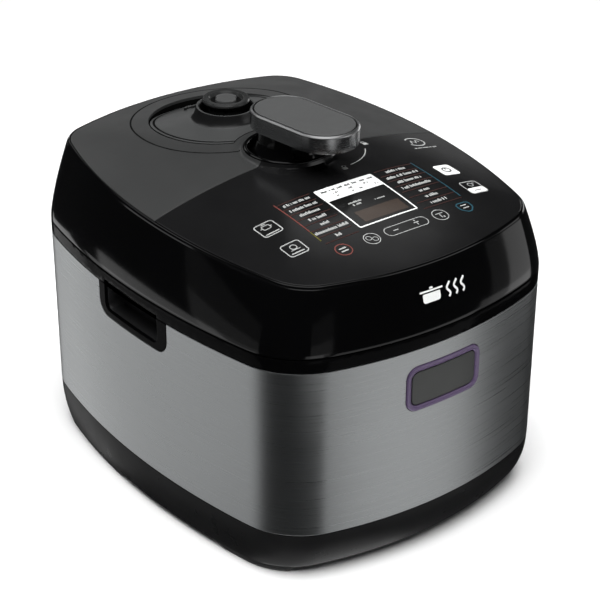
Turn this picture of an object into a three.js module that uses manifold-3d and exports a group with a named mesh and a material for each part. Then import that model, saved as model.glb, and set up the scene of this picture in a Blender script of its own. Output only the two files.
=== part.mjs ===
// Electric pressure cooker with a hinged lid, a turning lock knob on top and a brushed steel body.
// Units are millimetres and +Z is up. The origin is the middle of the footprint, on the surface that the
// feet stand on. The front faces -Y, and the lid hinge runs along X at the rear.

import * as THREE from "three";
import { mergeVertices } from "three/addons/utils/BufferGeometryUtils.js";
import Module from "manifold-3d";

const wasm = await Module();
wasm.setup();

// ---- driving dimensions ----------------------------------------------------------------------------

// Outlines seen from above: half sizes, the radii of the long arcs and of the corners, and a shift in Y.
const BODY = {
  halfWidth: 152, halfDepth: 190, side: 636, y: 0,
  front: 327, frontCorner: 59, back: 273.5, backCorner: 49,
};
const CREASE = {
  halfWidth: 139.2, halfDepth: 176.3, side: 462, y: -3,
  front: 283, frontCorner: 43.5, back: 306, backCorner: 35,
};
const FOOTPRINT = {
  halfWidth: 147.5, halfDepth: 179.8, side: 600, y: 2.2,
  front: 310, frontCorner: 52, back: 262, backCorner: 43,
};
const SIDE_STEPS = 3;
const CORNER_STEPS = 4;
const END_STEPS = 3;
const ROUND = 28;
const SMALL_ROUND = 14;

const GAP = 0.3;
const WALL = 3;
const FOOT_HEIGHT = 4.2;
const BASE_EDGE_Z = 4.5;
const STEEL_BOTTOM_Z = 41.3;
const STEEL_TOP_Z = 180.4;
const STEEL_THICKNESS = 1.5;
const SEAM_Z = 191.8;
const CREASE_Z = 250.7;
const CREASE_CLIMB = 7.9;
const CREASE_SAG = 0.7;
const DOME_RISE = 16;
const TOP_THICKNESS = 2.6;
const PROUD = 1.4;

// The pot and the bayonet ring share the knob's axis, which is the Z axis.
const POT_RADIUS = 104;
const POT_FLOOR_Z = 41;
const RIM_Z = 186;
const VESSEL_RADIUS = 110;
const LUG_COUNT = 4;
const LUG_ANGLE = 38;
const WELL_RADIUS = 130.5;

// Lid hinge axis, parallel to X.
// The scoop in the body leaves room for the lid's rear wall as it swings.
const HINGE = { y: 174, z: 197, barrel: 16, halfBarrel: 62, halfEar: 72, shaft: 4, scoop: 20 };

// Steam valve, its round recess in the lid, and the float valve beside it. The valve cover is level with the
// lid at the front of the recess and sinks towards the rear.
const VALVE = { y: 83, recessY: 88, recessRadius: 60.7, frontZ: 267, slope: -0.109, collarZ: 277 };
const FLOAT = { x: -30, y: 80 };
const SEAT_RADIUS = 44;
const PANEL_EDGE_Y = -10;

// Lock knob: a long block on a round pedestal, turned a little from straight ahead.
const KNOB = { length: 98.7, width: 54, forward: 18, bottomZ: 286, topZ: 300.5, turn: 6.1 };

const BUTTON = { width: 71.4, height: 37.4, z: 147.5, corner: 9.7, border: 4.7 };
const GRIP = {
  low: -45.7, high: 46.7, bottomZ: 153.3, corner: 12, mouthLow: -34, mouthHigh: 38, depth: 15.8,
};
const GRIP_MOUTH_Z = [158.5, 184.5];
const DOCK = { halfWidth: 39.7, lowZ: 112.3, highZ: 159.7, innerY: 150 };
const INLET = { x: 40, z: 23, halfWidth: 15, halfHeight: 12, innerY: 160, outerY: 189.6 };
const DISPLAY = { halfWidth: 28, low: -124, high: -67 };
const SCREWS = [
  ["front_left", -100, -120], ["front_right", 100, -120], ["rear_left", -100, 120], ["rear_right", 100, 120],
];

// ---- materials -------------------------------------------------------------------------------------

function finish(color, roughness, metalness) {
  return new THREE.MeshStandardMaterial({ color, roughness, metalness });
}

const glossBlack = finish(0x08080a, 0.12, 0);
const satinBlack = finish(0x1c1d1f, 0.45, 0);
const darkGrey = finish(0x2b2d2f, 0.4, 0);
const brushedSteel = finish(0x8e8f90, 0.32, 1);
const knobMetal = finish(0x5d6062, 0.3, 1);
const knobGrey = finish(0x4c4f50, 0.5, 0);
const purple = finish(0x4d3f6e, 0.4, 0);
const buttonGrey = finish(0x45484a, 0.45, 0);
const aluminium = finish(0xb9bbbd, 0.35, 1);
const potCoating = finish(0x2c2c2e, 0.4, 0.2);
const silicone = finish(0xd8d8d2, 0.6, 0);
const rubber = finish(0x18181a, 0.8, 0);
const boardGreen = finish(0x1f5a38, 0.6, 0);
const smokedGlass = finish(0x2a1e16, 0.1, 0);
const springSteel = finish(0xa5a7a8, 0.3, 1);

// ---- solids ----------------------------------------------------------------------------------------

// A closed geometry as a manifold solid, turned right side out.
function solid(geometry) {
  geometry.deleteAttribute("normal");
  geometry.deleteAttribute("uv");
  const merged = mergeVertices(geometry, 1e-4);
  const corners = merged.index.array;
  const triangles = [];
  for (let i = 0; i < corners.length; i += 3) {
    const [a, b, c] = [corners[i], corners[i + 1], corners[i + 2]];
    if (a !== b && b !== c && c !== a) triangles.push(a, b, c);
  }
  const vertProperties = merged.attributes.position.array;
  const build = (list) => {
    const mesh = new wasm.Mesh({ numProp: 3, vertProperties, triVerts: new Uint32Array(list) });
    return new wasm.Manifold(mesh);
  };
  const made = build(triangles);
  return made.volume() > 0 ? made : build(triangles.reverse());
}

function join(first, ...others) {
  return others.reduce((whole, other) => whole.add(other), first);
}

function cut(first, ...tools) {
  return tools.reduce((whole, tool) => whole.subtract(tool), first);
}

function box([x0, x1], [y0, y1], [z0, z1]) {
  const block = new THREE.BoxGeometry(x1 - x0, y1 - y0, z1 - z0);
  block.translate((x0 + x1) / 2, (y0 + y1) / 2, (z0 + z1) / 2);
  return solid(block);
}

// A profile of [radius, z] points turned about a vertical axis at (x, y). A profile that doesn't start and
// end on the axis is closed on itself.
function turned(profile, { x = 0, y = 0, segments = ROUND } = {}) {
  const points = profile.map(([radius, z]) => new THREE.Vector2(radius, z));
  const last = points[points.length - 1];
  if (points[0].x > 0 || last.x > 0) points.push(points[0].clone());
  const lathe = new THREE.LatheGeometry(points, segments);
  lathe.rotateX(Math.PI / 2);
  lathe.translate(x, y, 0);
  return solid(lathe);
}

function drum(radius, [z0, z1], place = {}) {
  return turned([[0, z0], [radius, z0], [radius, z1], [0, z1]], place);
}

function tube([inner, outer], [z0, z1], place = {}) {
  return turned([[inner, z0], [outer, z0], [outer, z1], [inner, z1]], place);
}

// A bar along X about the hinge axis, or about another axis given by its y and z.
function barX(radius, [x0, x1], { y = HINGE.y, z = HINGE.z, segments = 24 } = {}) {
  const bar = new THREE.CylinderGeometry(radius, radius, x1 - x0, segments);
  bar.rotateZ(Math.PI / 2);
  bar.translate((x0 + x1) / 2, y, z);
  return solid(bar);
}

function extruded(shape, depth, curveSegments = 2) {
  return new THREE.ExtrudeGeometry(shape, { depth, bevelEnabled: false, curveSegments });
}

function prism(shape, [z0, z1]) {
  const geometry = extruded(shape, z1 - z0);
  geometry.translate(0, 0, z0);
  return solid(geometry);
}

// A shape drawn in X and Z, extruded along Y.
function prismY(shape, [y0, y1]) {
  const geometry = extruded(shape, y1 - y0);
  geometry.rotateX(Math.PI / 2);
  geometry.translate(0, y1, 0);
  return solid(geometry);
}

// A shape drawn in Y and Z, extruded along X.
function prismX(shape, [x0, x1]) {
  const geometry = extruded(shape, x1 - x0);
  geometry.rotateX(Math.PI / 2);
  geometry.rotateZ(Math.PI / 2);
  geometry.translate(x0, 0, 0);
  return solid(geometry);
}

function roundedRectangle([x0, x1], [y0, y1], radius) {
  const shape = new THREE.Shape();
  shape.absarc(x1 - radius, y0 + radius, radius, -Math.PI / 2, 0);
  shape.absarc(x1 - radius, y1 - radius, radius, 0, Math.PI / 2);
  shape.absarc(x0 + radius, y1 - radius, radius, Math.PI / 2, Math.PI);
  shape.absarc(x0 + radius, y0 + radius, radius, Math.PI, (3 * Math.PI) / 2);
  shape.closePath();
  return shape;
}

// A ring sector about the Z axis, in degrees from +X.
function sector([inner, outer], [from, to], [z0, z1]) {
  const shape = new THREE.Shape();
  const start = THREE.MathUtils.degToRad(from);
  const end = THREE.MathUtils.degToRad(to);
  shape.absarc(0, 0, outer, start, end, false);
  shape.absarc(0, 0, inner, end, start, true);
  shape.closePath();
  return prism(shape, [z0, z1]);
}

// A coil spring: a wire swept along a helix whose axis runs from the origin along +Z.
class Helix extends THREE.Curve {
  constructor(radius, length, turns) {
    super();
    Object.assign(this, { radius, length, turns });
  }
  getPoint(t, target = new THREE.Vector3()) {
    const angle = 2 * Math.PI * this.turns * t;
    return target.set(this.radius * Math.cos(angle), this.radius * Math.sin(angle), this.length * t);
  }
}

function coil(radius, wire, length, turns) {
  const section = new THREE.Shape();
  section.absarc(0, 0, wire, 0, 2 * Math.PI);
  const options = {
    steps: 7 * turns, curveSegments: 2, bevelEnabled: false,
    extrudePath: new Helix(radius, length, turns),
  };
  return new THREE.ExtrudeGeometry(section, options);
}

// ---- outlines --------------------------------------------------------------------------------------

function arc(centre, radius, from, to, steps) {
  return Array.from({ length: steps }, (_, i) => {
    const angle = from + ((to - from) * i) / steps;
    return new THREE.Vector2(radius * Math.cos(angle), radius * Math.sin(angle)).add(centre);
  });
}

// Where two circles cross, on the side away from the origin.
function crossing(centreA, radiusA, centreB, radiusB) {
  const along = centreB.clone().sub(centreA);
  const gap = along.length();
  along.divideScalar(gap);
  const reach = (radiusA ** 2 - radiusB ** 2 + gap ** 2) / (2 * gap);
  const aside = Math.sqrt(radiusA ** 2 - reach ** 2);
  const middle = centreA.clone().addScaledVector(along, reach);
  const across = new THREE.Vector2(-along.y, along.x).multiplyScalar(aside);
  const options = [middle.clone().add(across), middle.clone().sub(across)];
  return options.sort((p, q) => q.x + q.y - (p.x + p.y))[0];
}

// A quarter of an outline, from the +X side to the +Y end: side arc, corner arc, end arc, all tangent.
function quarter(shape, endRadius, cornerRadius, inset) {
  const side = shape.side - inset;
  const end = endRadius - inset;
  const corner = cornerRadius - inset;
  const sideCentre = new THREE.Vector2(shape.halfWidth - shape.side, 0);
  const endCentre = new THREE.Vector2(0, shape.halfDepth - endRadius);
  const centre = crossing(sideCentre, side - corner, endCentre, end - corner);
  const sideAngle = centre.clone().sub(sideCentre).angle();
  const endAngle = centre.clone().sub(endCentre).angle();
  return [
    ...arc(sideCentre, side, 0, sideAngle, SIDE_STEPS),
    ...arc(centre, corner, sideAngle, endAngle, CORNER_STEPS),
    ...arc(endCentre, end, endAngle, Math.PI / 2, END_STEPS),
    new THREE.Vector2(0, shape.halfDepth - inset),
  ];
}

function outline(shape, inset = 0) {
  const rear = quarter(shape, shape.back, shape.backCorner, inset);
  const front = quarter(shape, shape.front, shape.frontCorner, inset);
  const place = (list, signX, signY) =>
    list.map((p) => new THREE.Vector2(signX * p.x, signY * p.y + shape.y));
  return [
    ...place(rear, 1, 1),
    ...place(rear.slice(0, -1).reverse(), -1, 1),
    ...place(front.slice(1), -1, -1),
    ...place(front.slice(1, -1).reverse(), 1, -1),
  ];
}

function between(from, to, share) {
  return from.map((p, i) => p.clone().lerp(to[i], share));
}

// A ring of 3-D points from an outline, at one height or at a height that depends on the point.
function ring(points, height) {
  return points.map((p) => new THREE.Vector3(p.x, p.y, typeof height === "number" ? height : height(p)));
}

// A skin over rings with equal numbers of points. An open loft gets a fan at each end, and a closed one
// joins its last ring to its first.
function loft(rings, closed = false) {
  const count = rings[0].length;
  const vertices = rings.flat();
  const faces = [];
  const bands = closed ? rings.length : rings.length - 1;
  for (let k = 0; k < bands; k += 1) {
    const low = k * count;
    const high = ((k + 1) % rings.length) * count;
    for (let i = 0; i < count; i += 1) {
      const next = (i + 1) % count;
      faces.push(low + i, low + next, high + next, low + i, high + next, high + i);
    }
  }
  if (!closed) {
    const last = (rings.length - 1) * count;
    const hubs = [0, last].map((start) => {
      const middle = new THREE.Vector3();
      for (let i = 0; i < count; i += 1) middle.addScaledVector(vertices[start + i], 1 / count);
      return vertices.push(middle) - 1;
    });
    for (let i = 0; i < count; i += 1) {
      const next = (i + 1) % count;
      faces.push(hubs[0], next, i, hubs[1], last + i, last + next);
    }
  }
  const geometry = new THREE.BufferGeometry().setFromPoints(vertices);
  geometry.setIndex(faces);
  return solid(geometry);
}

function slab(shape, inset, [z0, z1]) {
  return loft([ring(outline(shape, inset), z0), ring(outline(shape, inset), z1)]);
}

// ---- the lid's curved surface ----------------------------------------------------------------------

// The crease climbs towards the rear, a little less steeply the further back it is.
function creaseHeight(y) {
  const share = (y - CREASE.y) / CREASE.halfDepth;
  return CREASE_Z + CREASE_CLIMB * share - CREASE_SAG * share ** 2;
}

function domeRing(share, inset, drop) {
  const middle = new THREE.Vector2(0, CREASE.y);
  const points = outline(CREASE, inset).map((p) => p.clone().sub(middle).multiplyScalar(share).add(middle));
  return ring(points, (p) => creaseHeight(p.y) + DOME_RISE * (1 - share ** 2) - drop);
}

function domeShell(inset, top, bottom) {
  const shares = [0.2, 0.5, 0.75, 1];
  const under = shares.map((share) => domeRing(share, inset, bottom));
  const over = shares.toReversed().map((share) => domeRing(share, inset, top));
  return loft([...under, ...over]);
}

// Everything in front of the slightly bowed line that parts the control panel from the rear cover.
function frontOfPanelEdge(clearance) {
  const edge = PANEL_EDGE_Y - clearance;
  const radius = 1900;
  const reach = 160;
  const half = Math.asin(reach / radius);
  const shape = new THREE.Shape();
  shape.moveTo(-reach, -220);
  shape.lineTo(reach, -220);
  shape.absarc(0, edge - radius, radius, Math.PI / 2 - half, Math.PI / 2 + half, false);
  shape.closePath();
  return prism(shape, [200, 300]);
}

// ---- base, feet and outer body ---------------------------------------------------------------------

function baseShell() {
  const steps = [0, 0.1, 0.3, 0.6, 1];
  const top = STEEL_BOTTOM_Z - GAP;
  const wall = (inset) =>
    steps.map((step) => {
      const bulge = 1 - (1 - step) ** 2.2;
      const points = between(outline(FOOTPRINT, inset), outline(BODY, inset + 0.2), bulge);
      return ring(points, BASE_EDGE_Z + (top - BASE_EDGE_Z) * step);
    });
  const shell = loft([...wall(0), ...wall(WALL).reverse()], true);
  return cut(shell, inletBlock(GAP, INLET.innerY));
}

function inletBlock(grow, innerY) {
  const across = [INLET.x - INLET.halfWidth - grow, INLET.x + INLET.halfWidth + grow];
  const up = [INLET.z - INLET.halfHeight - grow, INLET.z + INLET.halfHeight + grow];
  return prismY(roundedRectangle(across, up, 3), [innerY, 200]);
}

function bottomPlate() {
  const slots = [];
  for (let row = -1; row <= 1; row += 2) {
    for (let i = -3; i <= 3; i += 1) {
      const y = 90 * row + 9 * i;
      slots.push(box([-30, 30], [y - 2, y + 2], [0, 20]));
    }
  }
  const screwHoles = SCREWS.map(([, x, y]) => drum(2, [0, 20], { x, y, segments: 8 }));
  const plate = slab(FOOTPRINT, WALL + GAP + 0.2, [BASE_EDGE_Z + 0.3, BASE_EDGE_Z + 2.7]);
  return cut(plate, ...slots, ...screwHoles);
}

// A rubber foot follows the base's edge round one corner.
function foot(sideX, [low, high]) {
  const band = cut(slab(FOOTPRINT, 0.6, [0, FOOT_HEIGHT]), slab(FOOTPRINT, 21, [-1, FOOT_HEIGHT + 1]));
  const across = sideX > 0 ? [112, 200] : [-200, -112];
  return band.intersect(box(across, [low, high], [-1, FOOT_HEIGHT + 1]));
}

function baseScrew(x, y) {
  return turned([[0, 2], [4, 2], [4, 4.5], [1.6, 4.5], [1.6, 12], [0, 12]], { x, y, segments: 8 });
}

function gripOutline(grow, top) {
  const shape = new THREE.Shape();
  const low = GRIP.low - grow;
  const high = GRIP.high + grow;
  const bottom = GRIP.bottomZ - grow;
  shape.absarc(high - GRIP.corner, bottom + GRIP.corner, GRIP.corner, -Math.PI / 2, 0);
  shape.lineTo(high, top);
  shape.lineTo(low, top);
  shape.absarc(low + GRIP.corner, bottom + GRIP.corner, GRIP.corner, Math.PI, (3 * Math.PI) / 2);
  shape.closePath();
  return shape;
}

function gripMouth(reach) {
  const shape = roundedRectangle([GRIP.mouthLow, GRIP.mouthHigh], GRIP_MOUTH_Z, 5);
  return prismX(shape, reach);
}

const outwards = (side, near, far) => (side > 0 ? [near, far] : [-far, -near]);

function gripPocket(side) {
  const back = BODY.halfWidth - GRIP.depth - 2.4;
  const block = prismX(gripOutline(0, STEEL_TOP_Z - 0.2), outwards(side, back, 200));
  const mouth = gripMouth(outwards(side, BODY.halfWidth - GRIP.depth, 200));
  return cut(block.intersect(slab(BODY, 0, [140, 200])), mouth);
}

function steelWrap() {
  const height = [STEEL_BOTTOM_Z, STEEL_TOP_Z];
  const wrap = cut(slab(BODY, 0, height), slab(BODY, STEEL_THICKNESS, [0, 220]));
  const dockAcross = [-DOCK.halfWidth - GAP, DOCK.halfWidth + GAP];
  const dock = roundedRectangle(dockAcross, [DOCK.lowZ - GAP, DOCK.highZ + GAP], 6);
  return cut(
    wrap,
    prismX(gripOutline(GAP, 200), [100, 200]),
    prismX(gripOutline(GAP, 200), [-200, -100]),
    prismY(buttonOutline(GAP), [-200, -150]),
    prismY(dock, [150, 200]),
  );
}

function buttonOutline(grow) {
  const half = BUTTON.width / 2 + grow;
  const up = BUTTON.height / 2 + grow;
  return roundedRectangle([-half, half], [BUTTON.z - up, BUTTON.z + up], Math.max(BUTTON.corner + grow, 2));
}

// The gloss ring on top of the body: outer wall, deck, the well that the bayonet ring turns in, the shelf
// that the vessel hangs from, and the two hinge ears.
function upperRing() {
  const deckZ = SEAM_Z - 0.3;
  const outer = loft([
    ring(outline(BODY, 1.9), 168),
    ring(outline(BODY, 1.9), STEEL_TOP_Z + 0.3),
    ring(outline(BODY, 0), STEEL_TOP_Z + 0.35),
    ring(outline(BODY, 0), deckZ - 0.6),
    ring(outline(BODY, 0.6), deckZ),
  ]);
  const hollow = cut(slab(BODY, 5, [160, deckZ - WALL]), drum(WELL_RADIUS + 2.5, [150, 200]));
  const ears = [-1, 1].map((side) => {
    const reach = outwards(side, HINGE.halfBarrel + 1, HINGE.halfEar);
    return join(
      barX(HINGE.barrel, reach),
      box(reach, [HINGE.y - HINGE.barrel, 176], [STEEL_TOP_Z + 0.6, HINGE.z]),
    );
  });
  const whole = join(cut(outer, hollow, drum(WELL_RADIUS, [150, 200])), shelf(), ...ears);
  const sides = [-1, 1].flatMap((side) => [
    gripMouth(outwards(side, BODY.halfWidth - GRIP.depth, 200)),
    prismX(gripOutline(GAP, STEEL_TOP_Z + 0.3), outwards(side, BODY.halfWidth - GRIP.depth - 2.8, 200)),
    barX(9.2, outwards(side, HINGE.halfEar + 0.4, 94)),
  ]);
  return cut(
    whole,
    ...sides,
    barX(HINGE.scoop, [-HINGE.halfBarrel - 0.6, HINGE.halfBarrel + 0.6]),
    barX(HINGE.shaft + GAP, [-90, 90]),
    box([-15.5, 15.5], [-176, -156], [180, 200]),
  );
}

function shelf() {
  return tube([VESSEL_RADIUS + 3.2, WELL_RADIUS + 1.2], [168, 171]);
}

// ---- pressure vessel, pot and heater ---------------------------------------------------------------

function pressureVessel() {
  const r = VESSEL_RADIUS;
  const shell = turned([
    [30, 29], [r + 2.5, 30], [r + 2.5, 171.3], [r + 9, 171.3], [r + 9, 173.3], [r + 2.5, 173.3],
    [r + 2.5, RIM_Z - 4], [r + 5, RIM_Z - 4], [r + 5, RIM_Z], [r, RIM_Z], [r, 31.5], [30, 31.5],
  ]);
  const lugs = Array.from({ length: LUG_COUNT }, (_, i) => {
    const middle = (360 / LUG_COUNT) * (i + 0.5);
    const span = [middle - LUG_ANGLE / 2, middle + LUG_ANGLE / 2];
    return sector([r + 4, r + 13], span, [RIM_Z - 4, RIM_Z]);
  });
  return join(shell, ...lugs);
}

function cookingPot() {
  const r = POT_RADIUS;
  const floor = POT_FLOOR_Z;
  return turned([
    [0, floor], [r - 8, floor], [r + 2, floor + 10], [r + 2, 182], [r + 5, RIM_Z + 0.3],
    [r + 10, RIM_Z + 0.3], [r + 10, RIM_Z + 2.3], [r, RIM_Z + 2.3], [r, floor + 11], [r - 9, floor + 3],
    [0, floor + 3],
  ]);
}

function heatingPlate() {
  return turned([[24, 31.9], [92, 31.9], [92, 36], [86, 40.5], [24, 40.5]]);
}

function sensorHousing() {
  return turned([[3.5, 20], [16, 20], [16, 29], [22, 29], [22, 31.2], [14, 31.2], [14, 22], [3.5, 22]],
    { segments: SMALL_ROUND });
}

function sensorCap() {
  const profile = [[0, 17], [3, 17], [3, 34], [12, 34], [12, 39.5], [10.5, 40.6], [0, 40.6]];
  return turned(profile, { segments: SMALL_ROUND });
}

function sensorSpring() {
  const geometry = coil(6, 0.7, 9.6, 4);
  geometry.translate(0, 0, 23.2);
  return solid(geometry);
}

// ---- electronics, inlet and condensation cup -------------------------------------------------------

function powerBoard() {
  const board = box([-70, 70], [-140, -50], [12, 13.6]);
  const relay = box([-60, -42], [-130, -105], [13, 25]);
  const transformer = box([-20, 12], [-128, -98], [13, 26]);
  const sink = box([30, 60], [-120, -116], [13, 26]);
  const capacitorPlaces = [[-34, -70], [24, -76], [44, -82]];
  const capacitors = capacitorPlaces.map(([x, y]) => drum(6, [13, 25], { x, y, segments: SMALL_ROUND }));
  return join(board, relay, transformer, sink, ...capacitors);
}

function powerInlet() {
  const across = [INLET.x - INLET.halfWidth, INLET.x + INLET.halfWidth];
  const up = [INLET.z - INLET.halfHeight, INLET.z + INLET.halfHeight];
  const body = prismY(roundedRectangle(across, up, 3), [INLET.innerY + 2, INLET.outerY]);
  const socketX = [across[0] + 3, across[1] - 3];
  const socketZ = [up[0] + 3, up[1] - 3];
  const socket = prismY(roundedRectangle(socketX, socketZ, 4), [INLET.innerY + 8, 200]);
  const pin = (x, z) => box([x - 1, x + 1], [INLET.innerY + 6, INLET.innerY + 22], [z - 2.2, z + 2.2]);
  const pins = [pin(INLET.x - 7, INLET.z - 2), pin(INLET.x, INLET.z + 3), pin(INLET.x + 7, INLET.z - 2)];
  return join(cut(body, socket), ...pins);
}

function condensationDock() {
  const outer = roundedRectangle([-DOCK.halfWidth, DOCK.halfWidth], [DOCK.lowZ, DOCK.highZ], 6);
  const across = [-DOCK.halfWidth + WALL, DOCK.halfWidth - WALL];
  const inner = box(across, [DOCK.innerY + WALL, 200], [DOCK.lowZ + WALL, DOCK.highZ - WALL]);
  const block = prismY(outer, [DOCK.innerY, 200]).intersect(slab(BODY, 0, [100, 170]));
  const drip = drum(5, [150, 170], { y: 168, segments: SMALL_ROUND });
  return cut(block, inner, drip);
}

function condensationCup() {
  const half = DOCK.halfWidth - WALL - GAP;
  const low = DOCK.lowZ + WALL + GAP;
  const body = box([-half + 0.4, half - 0.4], [DOCK.innerY + WALL + 0.5, 187], [low, low + 36]);
  const inside = box([-half + 2.4, half - 2.4], [DOCK.innerY + WALL + 2.5, 184], [low + 2, low + 50]);
  const face = prismY(roundedRectangle([-half, half], [low, DOCK.highZ - WALL - GAP], 3.7), [184, 200])
    .intersect(slab(BODY, -PROUD, [100, 170]));
  const fingerHold = box([-18, 18], [187.5, 200], [low + 26, low + 34]);
  return cut(join(cut(body, inside), face), fingerHold);
}

// ---- lid release -----------------------------------------------------------------------------------

function releaseFrame() {
  const outer = prismY(buttonOutline(0), [-200, -183]).intersect(slab(BODY, -PROUD, [120, 175]));
  return cut(outer, prismY(buttonOutline(-BUTTON.border + GAP), [-200, -150]));
}

function releaseButton() {
  const face = prismY(buttonOutline(-BUTTON.border), [-200, -183]).intersect(slab(BODY, -0.4, [120, 175]));
  const stem = box([-8, 8], [-184, -168.2], [BUTTON.z - 5, BUTTON.z + 5]);
  return join(face, stem);
}

function latchSlider() {
  const blade = box([-12, 12], [-167.6, -163.6], [138, 197.2]);
  const nose = box([-12, 12], [-170.4, -167], [195.2, 197.2]);
  return join(blade, nose);
}

function latchSpring() {
  const geometry = coil(4, 0.6, 28, 7);
  geometry.rotateX(-Math.PI / 2);
  geometry.translate(0, -162.3, 179);
  return solid(geometry);
}

// ---- lid -------------------------------------------------------------------------------------------

function lidBand() {
  const steps = [0.02, 0.35, 0.7, 0.93];
  const seam = SEAM_Z + 0.3;
  const wall = (inset, step) => {
    const points = between(outline(BODY, inset), outline(CREASE, inset), step ** 1.35);
    return ring(points, (p) => seam + (creaseHeight(p.y) - seam) * step);
  };
  const shell = loft(
    [
      ring(outline(BODY, 0.7), seam),
      ...steps.map((step) => wall(0, step)),
      ring(outline(CREASE, 0), creaseTop(0.9)),
      ring(outline(CREASE, 0.9), creaseTop(0)),
      ring(outline(CREASE, 1.3), creaseTop(0)),
      ring(outline(CREASE, 1.3), creaseTop(3.1)),
      ring(outline(CREASE, 4.5), creaseTop(3.3)),
      ...steps.slice(1, 3).reverse().map((step) => wall(WALL, step)),
      ring(outline(BODY, WALL), seam),
    ],
    true,
  );
  const barrel = barX(HINGE.barrel, [-HINGE.halfBarrel, HINGE.halfBarrel]);
  const earRoom = [-1, 1].map((side) =>
    barX(HINGE.barrel + 1, outwards(side, HINGE.halfBarrel, HINGE.halfEar + 0.8)));
  return cut(join(shell, barrel), barX(HINGE.shaft + GAP, [-80, 80]), ...earRoom);
}

function creaseTop(drop) {
  return (p) => creaseHeight(p.y) - drop;
}

function lidTop() {
  return cut(domeShell(1.6, 0, TOP_THICKNESS), drum(SEAT_RADIUS, [200, 300]));
}

function rearTop() {
  const recess = drum(VALVE.recessRadius, [200, 300], { y: VALVE.recessY });
  return cut(lidTop(), frontOfPanelEdge(-GAP), recess);
}

function controlPanel() {
  return cut(lidTop().intersect(frontOfPanelEdge(0)), displayOpening(GAP));
}

function displayOpening(grow) {
  const across = [-DISPLAY.halfWidth - grow, DISPLAY.halfWidth + grow];
  return prism(roundedRectangle(across, [DISPLAY.low - grow, DISPLAY.high + grow], 2.5), [200, 300]);
}

function displayWindow() {
  return domeShell(1.6, 0, TOP_THICKNESS).intersect(displayOpening(0));
}

function displayModule() {
  return box([-30, 30], [-127, -64], [238, 249.2]);
}

function controlBoard() {
  return box([-88, 88], [-140, -48], [235.8, 237.4]);
}

// A bowl round the knob's pedestal. Its outer side flares up to a rounded lip.
function knobSeat() {
  const r = SEAT_RADIUS - GAP;
  return turned([
    [9, 258], [30, 258], [r, 261.5], [r, 264], [39.5, 266.4], [36.2, 269.4], [34.6, 270.4], [32.6, 270.4],
    [31.5, 269], [31.5, 261], [9, 261],
  ]);
}

// The valve cover fills the round recess and rises to a flared collar round the steam valve.
function valveWell() {
  const height = (y) => VALVE.frontZ + VALVE.slope * (y - VALVE.recessY + VALVE.recessRadius);
  const [front, rear] = [20, 160];
  const side = new THREE.Shape([
    new THREE.Vector2(front, height(front) - WALL),
    new THREE.Vector2(rear, height(rear) - WALL),
    new THREE.Vector2(rear, height(rear)),
    new THREE.Vector2(front, height(front)),
  ]);
  const disc = drum(VALVE.recessRadius - GAP, [200, 300], { y: VALVE.recessY });
  const plate = prismX(side, [-70, 70]).intersect(disc);
  const profile = [
    [0, 256.5], [38, 256.5], [36, 259.5], [31.5, 264.5], [28.3, 269], [24.4, VALVE.collarZ],
    [0, VALVE.collarZ],
  ];
  return cut(
    join(plate, turned(profile, { y: VALVE.y })),
    drum(22, [260, 300], { y: VALVE.y }),
    drum(8, [200, 300], { y: VALVE.y }),
    drum(SEAT_RADIUS, [200, 300]),
  );
}

function lidLining() {
  const plate = slab(BODY, WALL + 0.8, [SEAM_Z + 0.6, SEAM_Z + 3]);
  const collar = tube([WELL_RADIUS - 0.5, WELL_RADIUS + 1.5], [SEAM_Z + 0.6, 204]);
  return cut(
    join(plate, collar),
    drum(WELL_RADIUS - 0.5, [180, 210]),
    box([-76, 76], [154, 200], [180, 210]),
    box([-16, 16], [-178, -156], [180, 200]),
  );
}

function lidCatch() {
  return box([-13, 13], [-178.5, -171], [SEAM_Z + 3.4, SEAM_Z + 5]).subtract(
    box([-5, 5], [-180, -175], [180, 210]),
  );
}

function lidFrame() {
  const plate = join(drum(126, [206.5, 209]), box([-60, 60], [90, 156], [206.5, 209]));
  return cut(plate, drum(9.5, [200, 220]), ...passages(8, 6));
}

// Holes for the steam pipe and the float valve.
function passages(pipeHole, floatHole) {
  return [
    drum(pipeHole, [150, 300], { y: VALVE.y, segments: SMALL_ROUND }),
    drum(floatHole, [150, 300], { x: FLOAT.x, y: FLOAT.y, segments: SMALL_ROUND }),
  ];
}

function innerLid() {
  const plate = turned([
    [0, 194.4], [60, 194.4], [66, 195.4], [114, 194.4], [114, 196.4], [64, 197.4], [58, 196.4], [0, 196.4],
  ]);
  return cut(plate, drum(5.6, [180, 210], { segments: SMALL_ROUND }), ...passages(7, 4.2));
}

function sealingGasket() {
  return turned([[104, 189.4], [114, 188.9], [117, 190.4], [117, 194], [107, 194], [104, 192]]);
}

function antiBlockCage() {
  const place = { y: VALVE.y, segments: SMALL_ROUND };
  const profile = [[0, 184.5], [10, 184.5], [12, 186.5], [12, 194], [10, 194], [10, 187], [0, 187]];
  const cup = turned(profile, place);
  const slots = [0, 60, 120].map((angle) => {
    const slot = new THREE.BoxGeometry(30, 3, 4);
    slot.rotateZ(THREE.MathUtils.degToRad(angle));
    slot.translate(0, VALVE.y, 190);
    return solid(slot);
  });
  return cut(cup, ...slots);
}

function steamPipe() {
  const place = { y: VALVE.y, segments: SMALL_ROUND };
  return turned([[3, 190], [6.4, 190], [6.4, 262], [4.5, 264], [4.5, 268], [3, 268]], place);
}

function floatValve() {
  const place = { x: FLOAT.x, y: FLOAT.y, segments: SMALL_ROUND };
  return turned([[0, 186], [7, 186], [7, 188], [3.6, 189.8], [3.6, 248], [0, 248]], place);
}

function valveWeight() {
  const place = { y: VALVE.y, segments: SMALL_ROUND };
  return turned([[0, 268.4], [5, 268.4], [5, 265], [9, 265], [9, 275.4], [0, 275.4]], place);
}

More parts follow.
